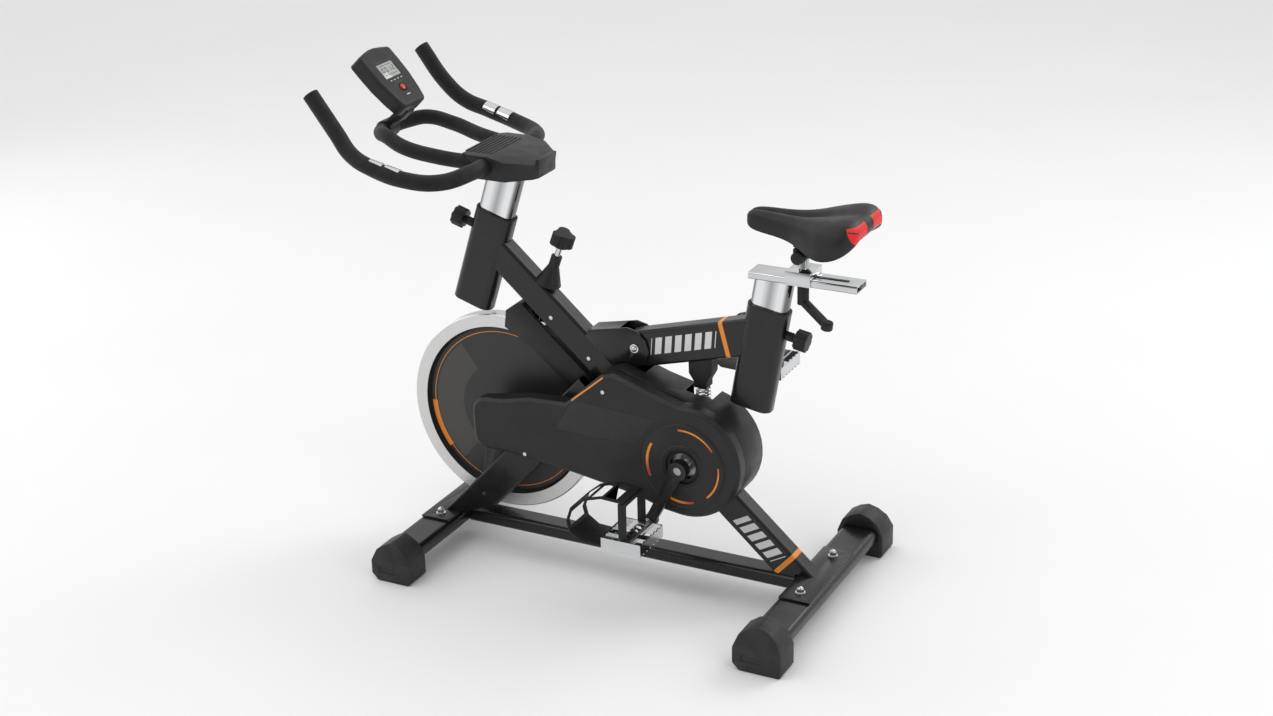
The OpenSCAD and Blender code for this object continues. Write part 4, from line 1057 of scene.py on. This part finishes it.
class BIKE_OT_saddle(BikeOperator, bpy.types.Operator):
    """Model the padded saddle with its channel, crowned wings and falling skirts"""
    bl_idname = "bike.saddle"
    bl_label = "Saddle"

    def execute(self, context):
        groove = context.scene.bike_sizes.saddle_groove * 1000
        rings = [self.section(*station, groove) for station in SADDLE_STATIONS]
        cover = subdivided(loft("saddle_padding", rings), 2)
        fit(cover, "saddle", "saddle_vinyl", looks()["vinyl"], stands_for=["saddle_cover"])

        for side, hand in ((-1, "left"), (1, "right")):
            seam = [(x, side * w * 0.86, self.side_height(w, low, high, 0.86) + 0.2)
                    for x, w, low, high in SADDLE_STATIONS[1:-1]]
            piping = tube(f"saddle_piping_{hand}", seam, 1.1, sides=4)
            smooth(piping, 60)
            fit(piping, "saddle", "saddle_vinyl", looks()["trim"])

        outline = [(x, -y) for x, y in SADDLE_BASE] + SADDLE_BASE[::-1]
        base = prism("saddle_base_plate", outline, 737.5, 751, drawing(), 1.5)
        block = prism("saddle_base_block", rectangle(402, 0, 40, 28), 738, 764, drawing(), 2.0)
        fit(joined("saddle_base", [base, block]), "saddle", "cover_plastic", looks()["cover"],
            stands_for=["saddle_pan"])
        return {"FINISHED"}

    def side_height(self, width, low, high, share):
        return high - (high - low) * 0.60 * share ** 6

    def section(self, x, width, low, high, groove):
        """Closed ring across the saddle: crown, wing, skirt and the hollow under it."""
        middle = (x - 325) / 150
        depth = groove * max(0.0, 1 - abs(middle - 0.5) / 0.95) ** 0.6 if x > 300 else 0.0
        height = high - low
        floor = max(low + min(6, height * 0.2), min(748.5, high - 6))
        half = [
            (0.0, high - depth), (0.12, high - depth * 0.75), (0.26, high - depth * 0.05),
            (0.52, high + 0.6), (0.72, high - height * 0.04), (0.88, high - height * 0.17),
            (0.98, high - height * 0.42), (1.0, high - height * 0.66), (0.97, low + height * 0.10),
            (0.94, low), (0.88, low + 1.5), (0.80, floor), (0.40, floor), (0.0, floor),
        ]
        right = [(x, share * width, z) for share, z in half]
        left = [(x, -share * width, z) for share, z in reversed(half[1:-1])]
        return right + left


class BIKE_OT_seat_spring(BikeOperator, bpy.types.Operator):
    """Wind the coil spring under the seat frame"""
    bl_idname = "bike.seat_spring"
    bl_label = "Seat spring"

    def execute(self, context):
        low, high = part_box("shock_spring")
        wire = context.scene.bike_sizes.spring_wire
        centre = (low + high) / 2
        radius = (high.x - low.x) / 2 - wire
        turns, steps = 4.5, 16
        points = []
        for i in range(int(turns * steps) + 1):
            t = math.tau * i / steps
            z = low.z + wire + (high.z - low.z - 2 * wire) * i / (turns * steps)
            points.append((
                (centre.x + radius * math.cos(t)) * 1000 - CENTRE_X,
                radius * math.sin(t) * 1000,
                z * 1000,
            ))
        coil = tube("seat_spring_coil", points, wire * 1000, sides=4)
        smooth(coil, 60)
        paint(coil, looks()["chrome"])
        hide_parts("shock_spring")
        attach(coil, "frame")
        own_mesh(coil)
        return {"FINISHED"}


class BIKE_OT_tray_ribs(BikeOperator, bpy.types.Operator):
    """Lay the rubber ribs that hold a phone or tablet on the tray"""
    bl_idname = "bike.tray_ribs"
    bl_label = "Tray ribs"

    def execute(self, context):
        top = drawing()
        ribs = [prism("rib", rectangle(x, 0, 4, 118), 857.6, 859.4, top, 0.6)
                for x in range(-282, -226, 9)]
        fit(joined("tray_ribs", ribs), "handlebar", "cap_rubber", looks()["caps"])
        return {"FINISHED"}


# Area lights: place and size in metres, power in watts
LIGHTS = (
    ("key", (-1.6, -2.6, 3.4), 2.6, 30),
    ("left_fill", (-3.2, 0.4, 1.6), 2.2, 12),
    ("rear_rim", (1.8, 2.6, 2.6), 1.6, 25),
    ("right_strip", (3.0, -1.2, 1.4), 1.2, 10),
)
# Camera: azimuth, elevation and roll in degrees, lens in millimetres, lengths in metres
CAMERA_ANGLES = (27.85, 22.12, -1.5)
CAMERA_TARGET = (-0.0169 + CENTRE_X / 1000, 0, 0.4605)
CAMERA_DISTANCE = 4.2504
CAMERA_LENS = 60.95
CAMERA_SHIFT = (0.0231, -0.0051)


class BIKE_OT_stage(BikeOperator, bpy.types.Operator):
    """Lay the floor, hang the lights and set the camera"""
    bl_idname = "bike.stage"
    bl_label = "Stage"

    def execute(self, context):
        free_selection()
        bpy.ops.mesh.primitive_plane_add(size=40, location=(0, 0, -0.0005))
        floor = context.object
        floor.name = "floor"
        settle(floor)
        paint(floor, studio_floor())

        for name, place, size, power in LIGHTS:
            bpy.ops.object.light_add(type="AREA", location=place)
            light = context.object
            light.name = name
            light.data.size = size
            light.data.energy = power
            aim = Vector((0, 0, 0.45)) - light.location
            light.rotation_euler = aim.to_track_quat("-Z", "Y").to_euler()
        self.sky(context)
        self.camera(context)
        return {"FINISHED"}

    def sky(self, context):
        """Pale surround, brightest overhead and dimmer behind the camera."""
        world = bpy.data.worlds.new("studio")
        world.use_nodes = True
        tree = world.node_tree
        sight = tree.nodes.new("ShaderNodeTexCoord").outputs["Generated"]
        strength = tree.nodes.new("ShaderNodeMath")
        strength.operation = "MULTIPLY"
        for socket, axis, limits in (
            (strength.inputs[0], (0, 0, 1), (0.0, 0.9, 0.68, 1.08)),
            (strength.inputs[1], (0.47, -0.88, 0), (-0.1, 0.9, 1.0, 0.35)),
        ):
            dot = tree.nodes.new("ShaderNodeVectorMath")
            dot.operation = "DOT_PRODUCT"
            dot.inputs[1].default_value = axis
            tree.links.new(sight, dot.inputs[0])
            ramp = tree.nodes.new("ShaderNodeMapRange")
            for name, value in zip(("From Min", "From Max", "To Min", "To Max"), limits):
                ramp.inputs[name].default_value = value
            tree.links.new(dot.outputs["Value"], ramp.inputs["Value"])
            tree.links.new(ramp.outputs[0], socket)
        tree.links.new(strength.outputs[0], tree.nodes["Background"].inputs["Strength"])
        tree.nodes["Background"].inputs["Color"].default_value = (1, 1, 1, 1)
        context.scene.world = world
        context.scene.view_settings.view_transform = "Standard"

    def camera(self, context):
        azimuth, elevation, roll = (math.radians(a) for a in CAMERA_ANGLES)
        forward = -Vector((math.sin(azimuth) * math.cos(elevation),
                           -math.cos(azimuth) * math.cos(elevation), math.sin(elevation)))
        level = Vector((math.cos(azimuth), math.sin(azimuth), 0))
        upright = level.cross(forward)
        right = level * math.cos(roll) + upright * math.sin(roll)
        up = upright * math.cos(roll) - level * math.sin(roll)
        camera = bpy.data.objects.new("camera", bpy.data.cameras.new("camera"))
        context.scene.collection.objects.link(camera)
        turn = Matrix((right, up, -forward)).transposed().to_4x4()
        place = Vector(CAMERA_TARGET) - forward * CAMERA_DISTANCE
        camera.matrix_world = Matrix.Translation(place) @ turn
        camera.data.sensor_width = 36
        camera.data.lens = CAMERA_LENS
        camera.data.shift_x, camera.data.shift_y = CAMERA_SHIFT
        camera.data.clip_end = 100
        context.scene.camera = camera


class BIKE_PT_panel(bpy.types.Panel):
    """Pieces of the bike and their sizes"""
    bl_label = "Spin Bike"
    bl_idname = "BIKE_PT_panel"
    bl_space_type = "VIEW_3D"
    bl_region_type = "UI"
    bl_category = "Spin Bike"

    def draw(self, context):
        layout = self.layout
        for group in (context.scene.bike_sizes, context.scene.bike_colours):
            box = layout.box()
            for key in group.__annotations__:
                box.prop(group, key)
        for operator in OPERATORS:
            layout.operator(operator.bl_idname)


OPERATORS = (
    BIKE_OT_finishes, BIKE_OT_rounded_parts, BIKE_OT_belt_cover, BIKE_OT_handlebar,
    BIKE_OT_console, BIKE_OT_saddle, BIKE_OT_seat_spring, BIKE_OT_tray_ribs, BIKE_OT_stage,
)
CLASSES = (BikeColours, BikeSizes) + OPERATORS + (BIKE_PT_panel,)


def register():
    for cls in CLASSES:
        bpy.utils.register_class(cls)
    bpy.types.Scene.bike_colours = bpy.props.PointerProperty(type=BikeColours)
    bpy.types.Scene.bike_sizes = bpy.props.PointerProperty(type=BikeSizes)


def unregister():
    del bpy.types.Scene.bike_sizes
    del bpy.types.Scene.bike_colours
    for cls in reversed(CLASSES):
        bpy.utils.unregister_class(cls)


def main():
    register()
    for operator in OPERATORS:
        family, call = operator.bl_idname.split(".")
        getattr(getattr(bpy.ops, family), call)()


if __name__ == "__main__":
    main()
